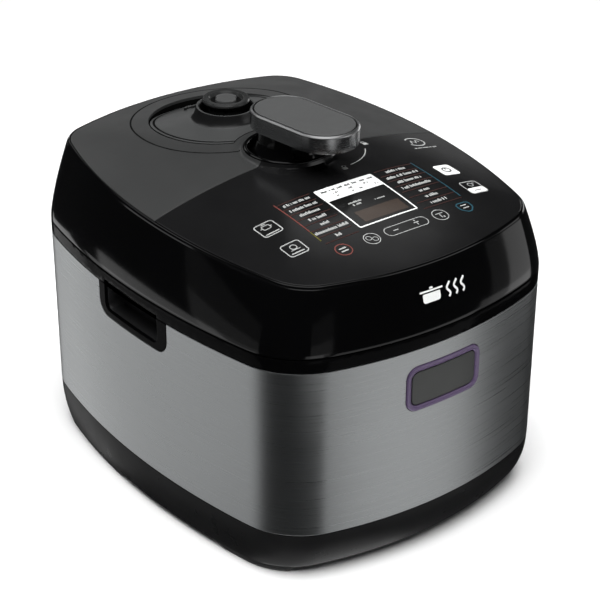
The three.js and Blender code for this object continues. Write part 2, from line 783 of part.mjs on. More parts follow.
// The steam valve's cap stands in the collar: a skirt under a thick overhanging rim round a shallow dish.
function valveCap() {
  const profile = [
    [0, 275.8], [9.4, 275.8], [9.4, 267], [15, 267], [15.5, 276.4], [18.8, 277.6], [19.3, 281], [17.8, 282.9],
    [14.6, 282.9], [12, 280.4], [0, 280.4],
  ];
  return turned(profile, { y: VALVE.y, segments: 24 });
}

// ---- lock knob and bayonet ring --------------------------------------------------------------------

// A block with round ends, lying along Y, drawn round the knob's own centre.
function knobBlock(inset, [z0, z1]) {
  const radius = KNOB.width / 2;
  const half = KNOB.length / 2 - radius;
  const shape = new THREE.Shape();
  shape.absarc(0, half, radius - inset, 0, Math.PI);
  shape.absarc(0, -half, radius - inset, Math.PI, 2 * Math.PI);
  shape.closePath();
  const geometry = extruded(shape, z1 - z0, 12);
  geometry.translate(0, -KNOB.forward, z0);
  return solid(geometry);
}

function knobRim() {
  const wall = knobBlock(0, [KNOB.bottomZ, KNOB.topZ - 1]);
  const lip = knobBlock(1, [KNOB.topZ - 2, KNOB.topZ - 0.2]);
  return cut(join(wall, lip), knobBlock(2.6, [200, 400]));
}

function knobCore() {
  return cut(knobBlock(2.9, [KNOB.bottomZ + 0.6, KNOB.topZ - 4.6]), drum(23.5, [200, KNOB.bottomZ + 3]));
}

function knobInlay() {
  return knobBlock(2.9, [KNOB.topZ - 4.3, KNOB.topZ]);
}

function knobPedestal() {
  const profile = [
    [0, 285], [8.4, 285], [8.4, 262], [28, 262], [30, 263.5], [29, 267], [25, 272], [23, 279], [23, 288.6],
    [0, 288.6],
  ];
  return turned(profile);
}

function knobShaft() {
  return turned(
    [[0, 186.4], [5, 186.4], [5, 202.4], [14, 202.4], [14, 205.4], [8, 205.4], [8, 284.6], [0, 284.6]],
    { segments: SMALL_ROUND },
  );
}

// The bayonet ring hangs on the knob's shaft and hooks under the vessel's lugs when it is turned.
function lockingRing() {
  const cup = turned([
    [5.4, 199.5], [125.5, 199.5], [125.5, 175.5], [128, 175.5], [128, 200.5], [126.5, 202], [5.4, 202],
  ]);
  const hooks = Array.from({ length: LUG_COUNT }, (_, i) => {
    const middle = (360 / LUG_COUNT) * i;
    const span = [middle - LUG_ANGLE / 2, middle + LUG_ANGLE / 2];
    return sector([119.5, 126.5], span, [175.5, 179.5]);
  });
  const slot = sector([68, 116], [34, 124], [190, 210]);
  return cut(join(cup, ...hooks), slot);
}

function innerLidNut() {
  const profile = [[5.4, 187], [13, 187], [15, 189], [15, 192.4], [10, 194], [5.4, 194]];
  return turned(profile, { segments: SMALL_ROUND });
}

// ---- assembly --------------------------------------------------------------------------------------

function add(group, name, form, material) {
  const mesh = form.getMesh();
  const geometry = new THREE.BufferGeometry();
  geometry.setAttribute("position", new THREE.BufferAttribute(mesh.vertProperties, 3));
  geometry.setIndex(new THREE.BufferAttribute(mesh.triVerts, 1));
  geometry.computeVertexNormals();
  const node = new THREE.Mesh(geometry, material);
  node.name = name;
  group.add(node);
}

const cooker = new THREE.Group();
const lid = new THREE.Group();
const knob = new THREE.Group();
knob.rotation.z = THREE.MathUtils.degToRad(KNOB.turn);
lid.add(knob);
cooker.add(lid);

add(cooker, "base_shell", baseShell(), satinBlack);
add(cooker, "bottom_plate", bottomPlate(), satinBlack);
add(cooker, "foot_front_left", foot(-1, [-200, -84]), rubber);
add(cooker, "foot_front_right", foot(1, [-200, -84]), rubber);
add(cooker, "foot_rear_left", foot(-1, [26, 200]), rubber);
add(cooker, "foot_rear_right", foot(1, [26, 200]), rubber);
add(cooker, "steel_wrap", steelWrap(), brushedSteel);
add(cooker, "upper_ring", upperRing(), glossBlack);
add(cooker, "left_grip_pocket", gripPocket(-1), satinBlack);
add(cooker, "right_grip_pocket", gripPocket(1), satinBlack);
add(cooker, "heat_shield", tube([121, 122], [44, 166], { segments: 24 }), aluminium);
add(cooker, "pressure_vessel", pressureVessel(), aluminium);
add(cooker, "heating_plate", heatingPlate(), aluminium);
add(cooker, "cooking_pot", cookingPot(), potCoating);
add(cooker, "sensor_housing", sensorHousing(), satinBlack);
add(cooker, "sensor_cap", sensorCap(), aluminium);
add(cooker, "sensor_spring", sensorSpring(), springSteel);
add(cooker, "power_board", powerBoard(), boardGreen);
add(cooker, "power_inlet", powerInlet(), satinBlack);
add(cooker, "condensation_dock", condensationDock(), satinBlack);
add(cooker, "condensation_cup", condensationCup(), satinBlack);
add(cooker, "hinge_shaft", barX(HINGE.shaft, [-71.5, 71.5], { segments: SMALL_ROUND }), springSteel);
add(cooker, "release_frame", releaseFrame(), purple);
add(cooker, "release_button", releaseButton(), buttonGrey);
add(cooker, "latch_slider", latchSlider(), springSteel);
add(cooker, "latch_spring", latchSpring(), springSteel);

add(lid, "lid_band", lidBand(), glossBlack);
add(lid, "lid_rear_top", rearTop(), darkGrey);
add(lid, "control_panel", controlPanel(), glossBlack);
add(lid, "display_window", displayWindow(), smokedGlass);
add(lid, "display_module", displayModule(), satinBlack);
add(lid, "control_board", controlBoard(), boardGreen);
add(lid, "knob_seat", knobSeat(), darkGrey);
add(lid, "valve_well", valveWell(), darkGrey);
add(lid, "lid_lining", lidLining(), satinBlack);
add(lid, "lid_catch", lidCatch(), springSteel);
add(lid, "lid_frame", lidFrame(), aluminium);
add(lid, "inner_lid", innerLid(), aluminium);
add(lid, "sealing_gasket", sealingGasket(), silicone);
add(lid, "anti_block_cage", antiBlockCage(), aluminium);
add(lid, "steam_pipe", steamPipe(), springSteel);
add(lid, "float_valve", floatValve(), springSteel);
add(lid, "valve_weight", valveWeight(), springSteel);
add(lid, "valve_cap", valveCap(), satinBlack);
add(lid, "knob_shaft", knobShaft(), springSteel);
add(lid, "locking_ring", lockingRing(), aluminium);
add(lid, "inner_lid_nut", innerLidNut(), satinBlack);

add(knob, "knob_pedestal", knobPedestal(), glossBlack);
add(knob, "knob_core", knobCore(), satinBlack);
add(knob, "knob_rim", knobRim(), knobMetal);
add(knob, "knob_inlay", knobInlay(), knobGrey);

for (const [place, x, y] of SCREWS) {
  add(cooker, `base_screw_${place}`, baseScrew(x, y), springSteel);
}

export default cooker;
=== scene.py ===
"""Looks of an electric pressure cooker, built round its CAD frame. Lengths in the code are millimetres."""

import math
import random

import bmesh
import bpy
import numpy as np
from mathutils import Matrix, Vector
from mathutils.geometry import delaunay_2d_cdt


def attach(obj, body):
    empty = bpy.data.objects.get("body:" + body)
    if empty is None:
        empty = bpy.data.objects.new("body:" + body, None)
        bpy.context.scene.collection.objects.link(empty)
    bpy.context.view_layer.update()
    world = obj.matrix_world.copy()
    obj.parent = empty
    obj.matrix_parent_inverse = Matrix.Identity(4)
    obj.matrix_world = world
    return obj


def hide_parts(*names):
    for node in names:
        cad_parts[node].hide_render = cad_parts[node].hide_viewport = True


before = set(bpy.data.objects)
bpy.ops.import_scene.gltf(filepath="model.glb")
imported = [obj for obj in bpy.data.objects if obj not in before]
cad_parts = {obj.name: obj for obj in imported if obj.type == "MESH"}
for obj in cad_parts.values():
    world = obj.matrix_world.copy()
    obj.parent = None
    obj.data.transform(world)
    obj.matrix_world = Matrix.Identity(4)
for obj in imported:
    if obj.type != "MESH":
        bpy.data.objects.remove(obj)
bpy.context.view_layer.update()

MM = 0.001
# The gap between neighbouring covers.
GAP = 0.3
# Three outlines, each of eight arcs: the radii of the sides, front, back and corners, and a shift along Y.
BODY = dict(
    half_width=152, half_depth=190, side=636, front=327, front_corner=59, back=273.5, back_corner=49, y=0)
CREASE = dict(
    half_width=139.2, half_depth=176.3, side=462, front=283, front_corner=43.5, back=306, back_corner=35,
    y=-3)
FOOTPRINT = dict(
    half_width=147.5, half_depth=179.8, side=600, front=310, front_corner=52, back=262, back_corner=43, y=2.2)
ARC_STEPS = (30, 18) * 4

# Heights of the seams, from the base's lower edge up to the crease where the lid's side meets its top.
BASE_Z = 4.5
STEEL_Z = (41.3, 180.4)
SEAM_Z = 191.8
CREASE_Z = 250.7
# How the crease climbs to the rear, and how the dome and the flare round the knob's bowl rise.
CREASE_TILT = 7.9
CREASE_SAG = 0.7
DOME_RISE = 16
FLARE_POWER = 6
BAND_POWER = 1.35
SEAT_RADIUS = 44
LIP = dict(radius=35.8, z=269.7)
RECESS = dict(y=88, radius=60.7, inner=56.4, level=92, drop=7.2)
VALVE = dict(y=83, collar=277, foot=30.5, lip=24.4, rise=0.9, rise_from=52)
PANEL_EDGE = dict(y=-10, radius=1900)
KNOB = dict(length=98.7, width=54, forward=18, bottom=286, top=300.5, turn=6.1)
BUTTON = dict(width=71.4, height=37.4, z=147.5, corner=9.7, border=4.7)
GRIP = dict(
    low=-45.7, high=46.7, bottom=153.3, corner=12, mouth=(-34, 38), mouth_z=(158.5, 184.5), depth=15.8)
DOCK = dict(half_width=39.7, low=112.3, high=159.7)
HINGE = dict(y=174, z=197, barrel=16, bore=4.4, half_barrel=62, half_ear=72)

# ---- materials ----


class Look:
    """A node material: a Principled shader with noise that changes its colour, roughness and surface."""

    def __init__(self, name, colour, roughness, metallic=0.0, specular=0.5):
        self.made = bpy.data.materials.new(name)
        self.made.use_nodes = True
        self.tree = self.made.node_tree
        self.shader = self.tree.nodes["Principled BSDF"]
        self.set(("Base Color", (*colour, 1)), ("Roughness", roughness))
        self.set(("Metallic", metallic), ("Specular IOR Level", specular))
        self.heights = []

    def set(self, *pairs):
        for socket, value in pairs:
            self.shader.inputs[socket].default_value = value
        return self

    def node(self, kind, **values):
        made = self.tree.nodes.new(kind)
        for key, value in values.items():
            setattr(made, key, value)
        return made

    def link(self, out, into):
        self.tree.links.new(out, into)

    def place(self, stretch):
        coordinates = self.node("ShaderNodeTexCoord")
        mapping = self.node("ShaderNodeMapping")
        mapping.inputs["Scale"].default_value = stretch
        self.link(coordinates.outputs["Object"], mapping.inputs["Vector"])
        return mapping.outputs["Vector"]

    def noise(self, scale, stretch=(1, 1, 1), detail=3, roughness=0.55):
        made = self.node("ShaderNodeTexNoise")
        made.inputs["Scale"].default_value = scale
        made.inputs["Detail"].default_value = detail
        made.inputs["Roughness"].default_value = roughness
        self.link(self.place(stretch), made.inputs["Vector"])
        return made.outputs["Fac"]

    def cells(self, scale):
        made = self.node("ShaderNodeTexVoronoi")
        made.inputs["Scale"].default_value = scale
        self.link(self.place((1, 1, 1)), made.inputs["Vector"])
        return made.outputs["Distance"]

    def ranged(self, factor, low, high, edges=(0.3, 0.7)):
        made = self.node("ShaderNodeMapRange")
        made.inputs["From Min"].default_value = edges[0]
        made.inputs["From Max"].default_value = edges[1]
        made.inputs["To Min"].default_value = low
        made.inputs["To Max"].default_value = high
        self.link(factor, made.inputs["Value"])
        return made.outputs["Result"]

    def rough(self, factor, low, high):
        self.link(self.ranged(factor, low, high), self.shader.inputs["Roughness"])
        return self

    def tint(self, factor, low, high, edges=(0.3, 0.7)):
        made = self.node("ShaderNodeMix", data_type="RGBA")
        made.inputs["A"].default_value = (*low, 1)
        made.inputs["B"].default_value = (*high, 1)
        made.inputs[6].default_value = (*low, 1)
        made.inputs[7].default_value = (*high, 1)
        self.link(self.ranged(factor, 0, 1, edges), made.inputs["Factor"])
        self.link(made.outputs[2], self.shader.inputs["Base Color"])
        return self

    def slope(self):
        """How far the surface faces up: 1 on level ground, 0 on a wall."""
        parts = self.node("ShaderNodeSeparateXYZ")
        self.link(self.node("ShaderNodeTexCoord").outputs["Normal"], parts.inputs[0])
        return parts.outputs["Z"]

    def bump(self, factor, distance, strength=1.0):
        made = self.node("ShaderNodeBump")
        made.inputs["Strength"].default_value = strength
        made.inputs["Distance"].default_value = distance * MM
        self.link(factor, made.inputs["Height"])
        if self.heights:
            self.link(self.heights[-1], made.inputs["Normal"])
        self.heights.append(made.outputs["Normal"])
        self.link(made.outputs["Normal"], self.shader.inputs["Normal"])
        return self


def shaded(colour, share):
    return tuple(c * share for c in colour)


def moulded(name, colour, roughness, specular=0.5, grain=0.01, spread=0.12):
    """Moulded plastic: a faint mottle, uneven gloss, and a grain."""
    look = Look(name, colour, roughness, specular=specular)
    if spread:
        look.tint(look.noise(14, detail=4), shaded(colour, 1 - spread), shaded(colour, 1 + spread))
    look.rough(look.noise(38, detail=5), roughness * 0.86, roughness * 1.16)
    if grain:
        look.bump(look.noise(2600, detail=2), grain)
    return look


def brushed(name, colour, roughness, stretch, anisotropy, groove=0.004):
    """Brushed metal. The strokes run across the direction in which the noise is stretched most."""
    look = Look(name, colour, roughness, metallic=1.0)
    look.set(("Anisotropic", anisotropy))
    strokes = look.noise(1, stretch, detail=6, roughness=0.7)
    look.tint(strokes, shaded(colour, 0.86), shaded(colour, 1.1), (0.25, 0.75))
    look.rough(strokes, roughness * 0.82, roughness * 1.2)
    look.bump(strokes, groove)
    tangent = look.node("ShaderNodeTangent", direction_type="RADIAL", axis="Z")
    look.link(tangent.outputs["Tangent"], look.shader.inputs["Tangent"])
    return look


def ink(name, colour):
    look = Look(name, colour, 0.45)
    look.tint(look.noise(900, detail=2), shaded(colour, 0.9), colour)
    return look


gloss = moulded("gloss_black", (0.0007, 0.0007, 0.0008), 0.085, specular=0.42, grain=0.0015, spread=0.2)
gloss.bump(gloss.noise(55, detail=1), 0.01)
ring_gloss = moulded(
    "ring_gloss_black", (0.0009, 0.0009, 0.001), 0.12, specular=0.03, grain=0.0015, spread=0.2)
# Painted shade: a near-black matt material, laid as thin strips and sheets in grooves, gaps and the valve's
# moat where shade falls.
painted_shade_black = moulded("painted_shade_black", (0.003, 0.003, 0.003), 0.7, specular=0.05, grain=0.002)
base_black = moulded("base_black", (0.0055, 0.0055, 0.0057), 0.3, specular=0.06, grain=0.004, spread=0.2)
satin_black = moulded("satin_black", (0.010, 0.010, 0.0105), 0.42, grain=0.02)
rear_grey = moulded("rear_grey", (0.025, 0.0255, 0.0255), 0.34, specular=0.55, grain=0.012, spread=0.06)
plate_grey_painted_shade = moulded("valve_plate_grey", (0.036, 0.037, 0.037), 0.34, specular=0.55, spread=0)
# Painted shade: the plate's colour turns near-black where the surface grows steep, so the flank up to the
# collar reads as shaded.
plate_grey_painted_shade.tint(plate_grey_painted_shade.slope(), (0.006, 0.006, 0.0062), (0.036, 0.037, 0.037), (0.72, 0.97))
panel_black = moulded("panel_black", (0.005, 0.005, 0.0052), 0.2, specular=0.5, grain=0.003, spread=0.15)
steel = brushed("brushed_steel", (0.46, 0.475, 0.48), 0.3, (7, 7, 1500), 0.6)
steel.bump(steel.noise(4, (1, 1, 2), detail=1), 0.05, 0.5)
knob_metal = brushed("knob_metal", (0.39, 0.395, 0.4), 0.24, (60, 60, 9000), 0.4, 0.0008)
# Painted highlight: a lighter, evener copy of the knob metal for the rim's chamfer, so the edge reads light
# grey all round.
knob_edge_painted_highlight = brushed("knob_edge_metal", (0.56, 0.565, 0.57), 0.36, (200, 200, 4000), 0.2, 0.0006)
knob_grey = moulded("knob_grey", (0.05, 0.051, 0.051), 0.42, grain=0.008, spread=0.05)
purple = moulded("frame_purple", (0.068, 0.047, 0.094), 0.3, grain=0.004, spread=0.1)
button_grey = moulded("button_grey", (0.024, 0.025, 0.024), 0.33, grain=0.006, spread=0.06)
cap_black = moulded("valve_cap_black", (0.014, 0.0145, 0.0145), 0.26, grain=0.003)
cap_grey = moulded("valve_cap_grey", (0.045, 0.046, 0.046), 0.3, grain=0.005)
aluminium = brushed("spun_aluminium", (0.72, 0.73, 0.74), 0.27, (30, 30, 1200), 0.35)
lid_aluminium = brushed("pressed_aluminium", (0.74, 0.75, 0.76), 0.3, (160, 160, 30), 0.3)
bright_steel = brushed("bright_steel", (0.66, 0.67, 0.68), 0.22, (60, 60, 900), 0.3, 0.001)
coating = Look("pot_coating", (0.03, 0.03, 0.031), 0.38, specular=0.6)
coating.tint(coating.cells(900), (0.12, 0.12, 0.12), (0.022, 0.022, 0.023), (0.0, 0.18))
coating.rough(coating.noise(60), 0.32, 0.45)
coating.bump(coating.noise(1500), 0.012)
silicone = moulded("silicone", (0.62, 0.62, 0.58), 0.55, grain=0.01, spread=0.04)
rubber = moulded("foot_rubber", (0.012, 0.012, 0.012), 0.75, grain=0.03)
board = moulded("circuit_board", (0.02, 0.11, 0.05), 0.5, grain=0.01, spread=0.25)
window = Look("smoked_window", (0.03, 0.021, 0.016), 0.16)
window.tint(window.noise(22, detail=2), (0.026, 0.018, 0.014), (0.036, 0.026, 0.02))
window.rough(window.noise(60), 0.13, 0.19)
screen_black = moulded("screen_black", (0.005, 0.005, 0.005), 0.16, grain=0.0)
white_ink = ink("white_ink", (0.72, 0.73, 0.72))
grey_ink = ink("grey_ink", (0.32, 0.325, 0.32))
red_ink = ink("red_ink", (0.12, 0.032, 0.026))
brown_ink = ink("brown_ink", (0.030, 0.011, 0.009))
yellow_ink = ink("yellow_ink", (0.08, 0.07, 0.012))
teal_ink = ink("teal_ink", (0.012, 0.05, 0.07))
black_ink = ink("black_ink", (0.01, 0.01, 0.01))

# ---- meshes ----


class Form:
    """Points and faces of one mesh, in millimetres. Points that fall together are shared."""

    def __init__(self):
        self.points, self.index, self.faces, self.guides = [], {}, [], {}

    def point(self, p):
        key = (round(p[0], 3), round(p[1], 3), round(p[2], 3))
        if key not in self.index:
            self.index[key] = len(self.points)
            self.points.append(tuple(p))
        return self.index[key]

    def face(self, corners, normals=None):
        ids = [self.point(p) for p in corners]
        if normals:
            self.guides[len(self.faces)] = dict(zip(ids, normals))
        ids = [a for a, b in zip(ids, ids[1:] + ids[:1]) if a != b]
        if len(set(ids)) == len(ids) and len(ids) > 2:
            self.faces.append(ids)
        elif normals:
            del self.guides[len(self.faces)]

    def bands(self, rings, closed=False):
        for low, high in zip(rings, rings[1:] + rings[:1] if closed else rings[1:]):
            count = len(low)
            for i in range(count):
                j = (i + 1) % count
                self.face((low[i], low[j], high[j], high[i]))
        return self

    def cap(self, ring):
        middle = tuple(sum(p[k] for p in ring) / len(ring) for k in range(3))
        for i, p in enumerate(ring):
            self.face((p, ring[(i + 1) % len(ring)], middle))

    def closed(self, rings):
        """Bands from the first ring to the last, with both ends closed."""
        self.bands(rings)
        self.cap(rings[0])
        self.cap(rings[-1])
        return self

    def mesh(self, name):
        """A Blender mesh with its faces pointing out."""
        mesh = bpy.data.meshes.new(name)
        mesh.from_pydata([(x * MM, y * MM, z * MM) for x, y, z in self.points], [], self.faces)
        shell = bmesh.new()
        shell.from_mesh(mesh)
        bmesh.ops.recalc_face_normals(shell, faces=shell.faces)
        shell.to_mesh(mesh)
        shell.free()
        return mesh


def smoothed(mesh, angle):
    mesh.polygons.foreach_set("use_smooth", [True] * len(mesh.polygons))
    mesh.set_sharp_from_angle(angle=math.radians(angle))


def in_scene(name, data):
    made = bpy.data.objects.new(name, data)
    bpy.context.scene.collection.objects.link(made)
    return made


def piece(name, form, look, body, stands_for=(), angle=32):
    """Makes a form into a shown piece that rides on a body. Edges sharper than the angle stay sharp."""
    mesh = form.mesh(name)
    smoothed(mesh, angle)
    if form.guides:
        corners = [(0.0, 0.0, 0.0)] * len(mesh.loops)
        for number, normals in form.guides.items():
            for loop in mesh.polygons[number].loop_indices:
                corners[loop] = normals.get(mesh.loops[loop].vertex_index, (0.0, 0.0, 0.0))
        mesh.normals_split_custom_set(corners)
    mesh.materials.append(look.made)
    made = in_scene(name, mesh)
    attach(made, body)
    if stands_for:
        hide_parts(*stands_for)
    return made


def soften_edges(made, width):
    bevel = made.modifiers.new("soft_edges", "BEVEL")
    bevel.width = width * MM
    bevel.segments = 2
    bevel.limit_method = "ANGLE"
    bevel.angle_limit = math.radians(40)
    bevel.harden_normals = False


def rounded(corners, closed=True, steps=4):
    """A line through (a, b) or (a, b, radius) corners, with those that have a radius rounded off."""
    out = []
    count = len(corners)
    for i, corner in enumerate(corners):
        p = Vector(corner[:2])
        end = not closed and i in (0, count - 1)
        if len(corner) < 3 or end:
            out.append(tuple(p))
            continue
        back = Vector(corners[i - 1][:2]) - p
        ahead = Vector(corners[(i + 1) % count][:2]) - p
        half = back.angle(ahead) / 2
        reach = min(corner[2] / math.tan(half), back.length * 0.48, ahead.length * 0.48)
        radius = reach * math.tan(half)
        middle = p + (back.normalized() + ahead.normalized()).normalized() * radius / math.sin(half)
        start = p + back.normalized() * reach - middle
        finish = p + ahead.normalized() * reach - middle
        sweep = start.angle(finish)
        for k in range(steps + 1):
            t = k / steps
            turn = (start * math.sin((1 - t) * sweep) + finish * math.sin(t * sweep)) / math.sin(sweep)
            out.append(tuple(middle + turn))
    return out


def circle(x, y, radius, count=96, clockwise=False, start=0.0, stop=360.0):
    """Points round a circle. A full turn leaves out its last point."""
    steps = count if stop - start >= 360 else count - 1
    angles = [math.radians(start + (stop - start) * i / steps) for i in range(count)]
    if clockwise:
        angles.reverse()
    return [(x + radius * math.cos(a), y + radius * math.sin(a)) for a in angles]


def turned(profile, y=0.0, count=96):
    """A closed profile of (radius, z) or (radius, z, rounding) points, turned about an upright axis."""
    rings = [[(cx, cy, z) for cx, cy in circle(0, y, max(r, 0), count)] for r, z in rounded(profile)]
    return Form().bands(rings, closed=True)


def turned_piece(name, profile, look, body, stands_for=(), y=0.0, count=96, angle=32):
    return piece(name, turned(profile, y, count), look, body, stands_for, angle)


def corner_circle(shape, end, corner):
    """The centre of a corner arc and the angles where it meets the side and end arcs."""
    side_middle = Vector((shape["half_width"] - shape["side"], 0))
    end_middle = Vector((0, shape["half_depth"] - end))
    along = end_middle - side_middle
    gap = along.length
    along.normalize()
    near, far = shape["side"] - corner, end - corner
    reach = (near**2 - far**2 + gap**2) / (2 * gap)
    aside = Vector((along.y, -along.x)) * math.sqrt(near**2 - reach**2)
    middle = max((side_middle + along * reach + aside * s for s in (1, -1)), key=lambda p: p.x + p.y)
    to_side = middle - side_middle
    to_end = middle - end_middle
    return middle, math.atan2(to_side.y, to_side.x), math.atan2(to_end.y, to_end.x)


def arcs(shape):
    """The eight arcs of an outline as (x, y, radius, from, to), anticlockwise from the rear arc."""
    rear, rear_side, rear_end = corner_circle(shape, shape["back"], shape["back_corner"])
    front, front_side, front_end = corner_circle(shape, shape["front"], shape["front_corner"])
    middle = shape["half_width"] - shape["side"]
    shift, half, whole = shape["y"], math.pi, 2 * math.pi
    behind, ahead = shape["half_depth"] - shape["back"] + shift, shape["front"] - shape["half_depth"] + shift
    return [
        (0, behind, shape["back"], rear_end, half - rear_end),
        (-rear.x, rear.y + shift, shape["back_corner"], half - rear_end, half - rear_side),
        (-middle, shift, shape["side"], half - rear_side, half + front_side),
        (-front.x, shift - front.y, shape["front_corner"], half + front_side, half + front_end),
        (0, ahead, shape["front"], half + front_end, whole - front_end),
        (front.x, shift - front.y, shape["front_corner"], whole - front_end, whole - front_side),
        (middle, shift, shape["side"], whole - front_side, whole + rear_side),
        (rear.x, rear.y + shift, shape["back_corner"], whole + rear_side, whole + rear_end),
    ]


def outline(shape, inset=0.0):
    points = []
    for (x, y, radius, start, stop), steps in zip(arcs(shape), ARC_STEPS):
        for i in range(steps):
            angle = start + (stop - start) * i / steps
            points.append((x + (radius - inset) * math.cos(angle), y + (radius - inset) * math.sin(angle)))
    return points


def between(first, second, share):
    return [(a[0] + (b[0] - a[0]) * share, a[1] + (b[1] - a[1]) * share) for a, b in zip(first, second)]


def ring(points, height):
    return [(x, y, height(x, y) if callable(height) else height) for x, y in points]


class Wall:
    """The upright wall over an outline. u runs round it, v is the height, and depth goes inwards."""

    def __init__(self, shape):
        self.arcs = arcs(shape)
        self.starts = [0.0]
        for _, _, radius, start, stop in self.arcs:
            self.starts.append(self.starts[-1] + radius * (stop - start))
        self.length = self.starts[-1]

    def angle(self, u):
        number = max(i for i in range(8) if self.starts[i] <= max(u, 0) + 1e-9)
        x, y, radius, start, _ = self.arcs[number]
        return x, y, radius, start + (u - self.starts[number]) / radius

    def __call__(self, u, v, depth=0.0):
        x, y, radius, angle = self.angle(u)
        return (x + (radius - depth) * math.cos(angle), y + (radius - depth) * math.sin(angle), v)

    def normal(self, u, v):
        angle = self.angle(u)[3]
        return (math.cos(angle), math.sin(angle), 0.0)

    def reach(self, number, angle):
        return self.starts[number] + self.arcs[number][2] * (angle - self.arcs[number][3])

    def rear(self, x):
        return self.reach(0, math.acos(x / self.arcs[0][2]))

    def front(self, x):
        return self.reach(4, 2 * math.pi - math.acos(x / self.arcs[4][2]))

    def side(self, sign, y):
        turn = math.asin(y / self.arcs[2][2])
        return self.reach(6, 2 * math.pi + turn) if sign > 0 else self.reach(2, math.pi - turn)


body_wall = Wall(BODY)


def crease_height(y):
    share = (y - CREASE["y"]) / CREASE["half_depth"]
    return CREASE_Z + CREASE_TILT * share - CREASE_SAG * share**2


class Sheet:
    """A surface that gives one height over each place of the plan. Depth goes straight down."""

    step = 0.05

    def __call__(self, x, y, depth=0.0):
        return (x, y, self.height(x, y) - depth)

    def normal(self, x, y):
        step = self.step
        slope_x = (self.height(x + step, y) - self.height(x - step, y)) / (2 * step)
        slope_y = (self.height(x, y + step) - self.height(x, y - step)) / (2 * step)
        return tuple(Vector((-slope_x, -slope_y, 1)).normalized())


class Dome(Sheet):
    """The lid's curved top: a dome over the crease outline that flares up round the knob's bowl. Grooves, as
    (radius, half width, depth), run round the valve recess."""

    step = 0.03

    def __init__(self, grooves=()):
        edge = outline(CREASE, 1.6)
        polar = sorted((math.atan2(y - CREASE["y"], x), math.hypot(x, y - CREASE["y"])) for x, y in edge)
        self.angles = np.array([a for a, r in polar])
        self.radii = np.array([r for a, r in polar])
        self.grooves = grooves

    def height(self, x, y):
        angle = math.atan2(y - CREASE["y"], x)
        edge = float(np.interp(angle, self.angles, self.radii, period=2 * math.pi))
        share = math.hypot(x, y - CREASE["y"]) / edge
        z = crease_height(y) + DOME_RISE * (1 - share**2)
        for radius, half, depth in self.grooves:
            away = abs(math.hypot(x, y - RECESS["y"]) - radius) / half
            if away < 1:
                z -= depth * (0.5 + 0.5 * math.cos(math.pi * away))
        flare = (SEAT_RADIUS - math.hypot(x, y)) / (SEAT_RADIUS - LIP["radius"])
        if flare > 0:
            z += (LIP["z"] - z) * min(flare, 1) ** FLARE_POWER
        return z


def inside(points, loop):
    """Which of an array of points lie inside a loop."""
    x, y = points[:, 0], points[:, 1]
    found = np.zeros(len(points), bool)
    corners = np.array(loop)
    for (x0, y0), (x1, y1) in zip(corners, np.roll(corners, -1, axis=0)):
        if y0 == y1:
            continue
        crosses = (y0 > y) != (y1 > y)
        found ^= crosses & (x < (x1 - x0) * (y - y0) / (y1 - y0) + x0)
    return found


def fill(form, loops, spacing, surface, depth=0.0, marks=(), guided=True):
    """Covers the area inside the first loop and outside the rest with triangles laid on a surface."""
    edge = np.array([p for loop in loops for p in loop])
    low, high = edge.min(0), edge.max(0)
    rows = int((high[1] - low[1]) / (spacing * 0.866)) + 1
    columns = int((high[0] - low[0]) / spacing) + 2
    grid = np.array([
        (low[0] + spacing * (i + 0.5 * (j % 2)), low[1] + spacing * 0.866 * (j + 0.5))
        for j in range(rows) for i in range(columns)
    ])

    def kept(points, fixed, clearance):
        good = inside(points, loops[0])
        for loop in loops[1:]:
            good &= ~inside(points, loop)
        points = points[good]
        far = np.ones(len(points), bool)
        for block in range(0, len(points), 400):
            part = points[block:block + 400]
            gaps = np.hypot(part[:, None, 0] - fixed[None, :, 0], part[:, None, 1] - fixed[None, :, 1])
            far[block:block + 400] = gaps.min(1) > clearance
        return points[far]

    if len(marks):
        marks = kept(np.array(marks), edge, 0.25)
        grid = kept(grid, np.vstack((edge, marks)), spacing * 0.5)
        inner = np.vstack((marks, grid))
    else:
        inner = kept(grid, edge, spacing * 0.5)
    vertices = [Vector(p) for p in edge] + [Vector(p) for p in inner]
    edges, start = [], 0
    for loop in loops:
        edges += [(start + i, start + (i + 1) % len(loop)) for i in range(len(loop))]
        start += len(loop)
    found, _, triangles, *_ = delaunay_2d_cdt(vertices, edges, [], 0, 1e-5)
    flat = np.array([tuple(p) for p in found])
    corners = np.array(triangles)
    middles = flat[corners].mean(1)
    good = inside(middles, loops[0])
    for loop in loops[1:]:
        good &= ~inside(middles, loop)
    places = [surface(x, y, depth) for x, y in flat]
    normals = [surface.normal(x, y) for x, y in flat] if guided else None
    for triangle in corners[good]:
        form.face([places[i] for i in triangle], [normals[i] for i in triangle] if guided else None)


def offset(loop, distance):
    """A loop moved outwards: to the right of its direction of travel."""
    moved = []
    count = len(loop)
    for i, p in enumerate(loop):
        before, after = Vector(loop[i - 1]), Vector(loop[(i + 1) % count])
        here = Vector(p)
        first, second = (here - before).normalized(), (after - here).normalized()
        a, b = Vector((first.y, -first.x)), Vector((second.y, -second.x))
        whole = a + b
        share = max(1 + a.dot(b), 0.35)
        moved.append(tuple(here + whole * distance / share))
    return moved


def rolled(form, loop, surface, radius, depth, steps=4):
    """A rounded edge on a loop that is inset by the radius, then a skirt. Gives the outermost loop."""
    rings = []
    for k in range(steps + 1):
        turn = math.pi / 2 * k / steps
        edge = offset(loop, radius * math.sin(turn)) if k else loop
        rings.append([surface(u, v, radius * (1 - math.cos(turn))) for u, v in edge])
    last = offset(loop, radius)
    rings.append([surface(u, v, depth) for u, v in last])
    form.bands(rings)
    return last


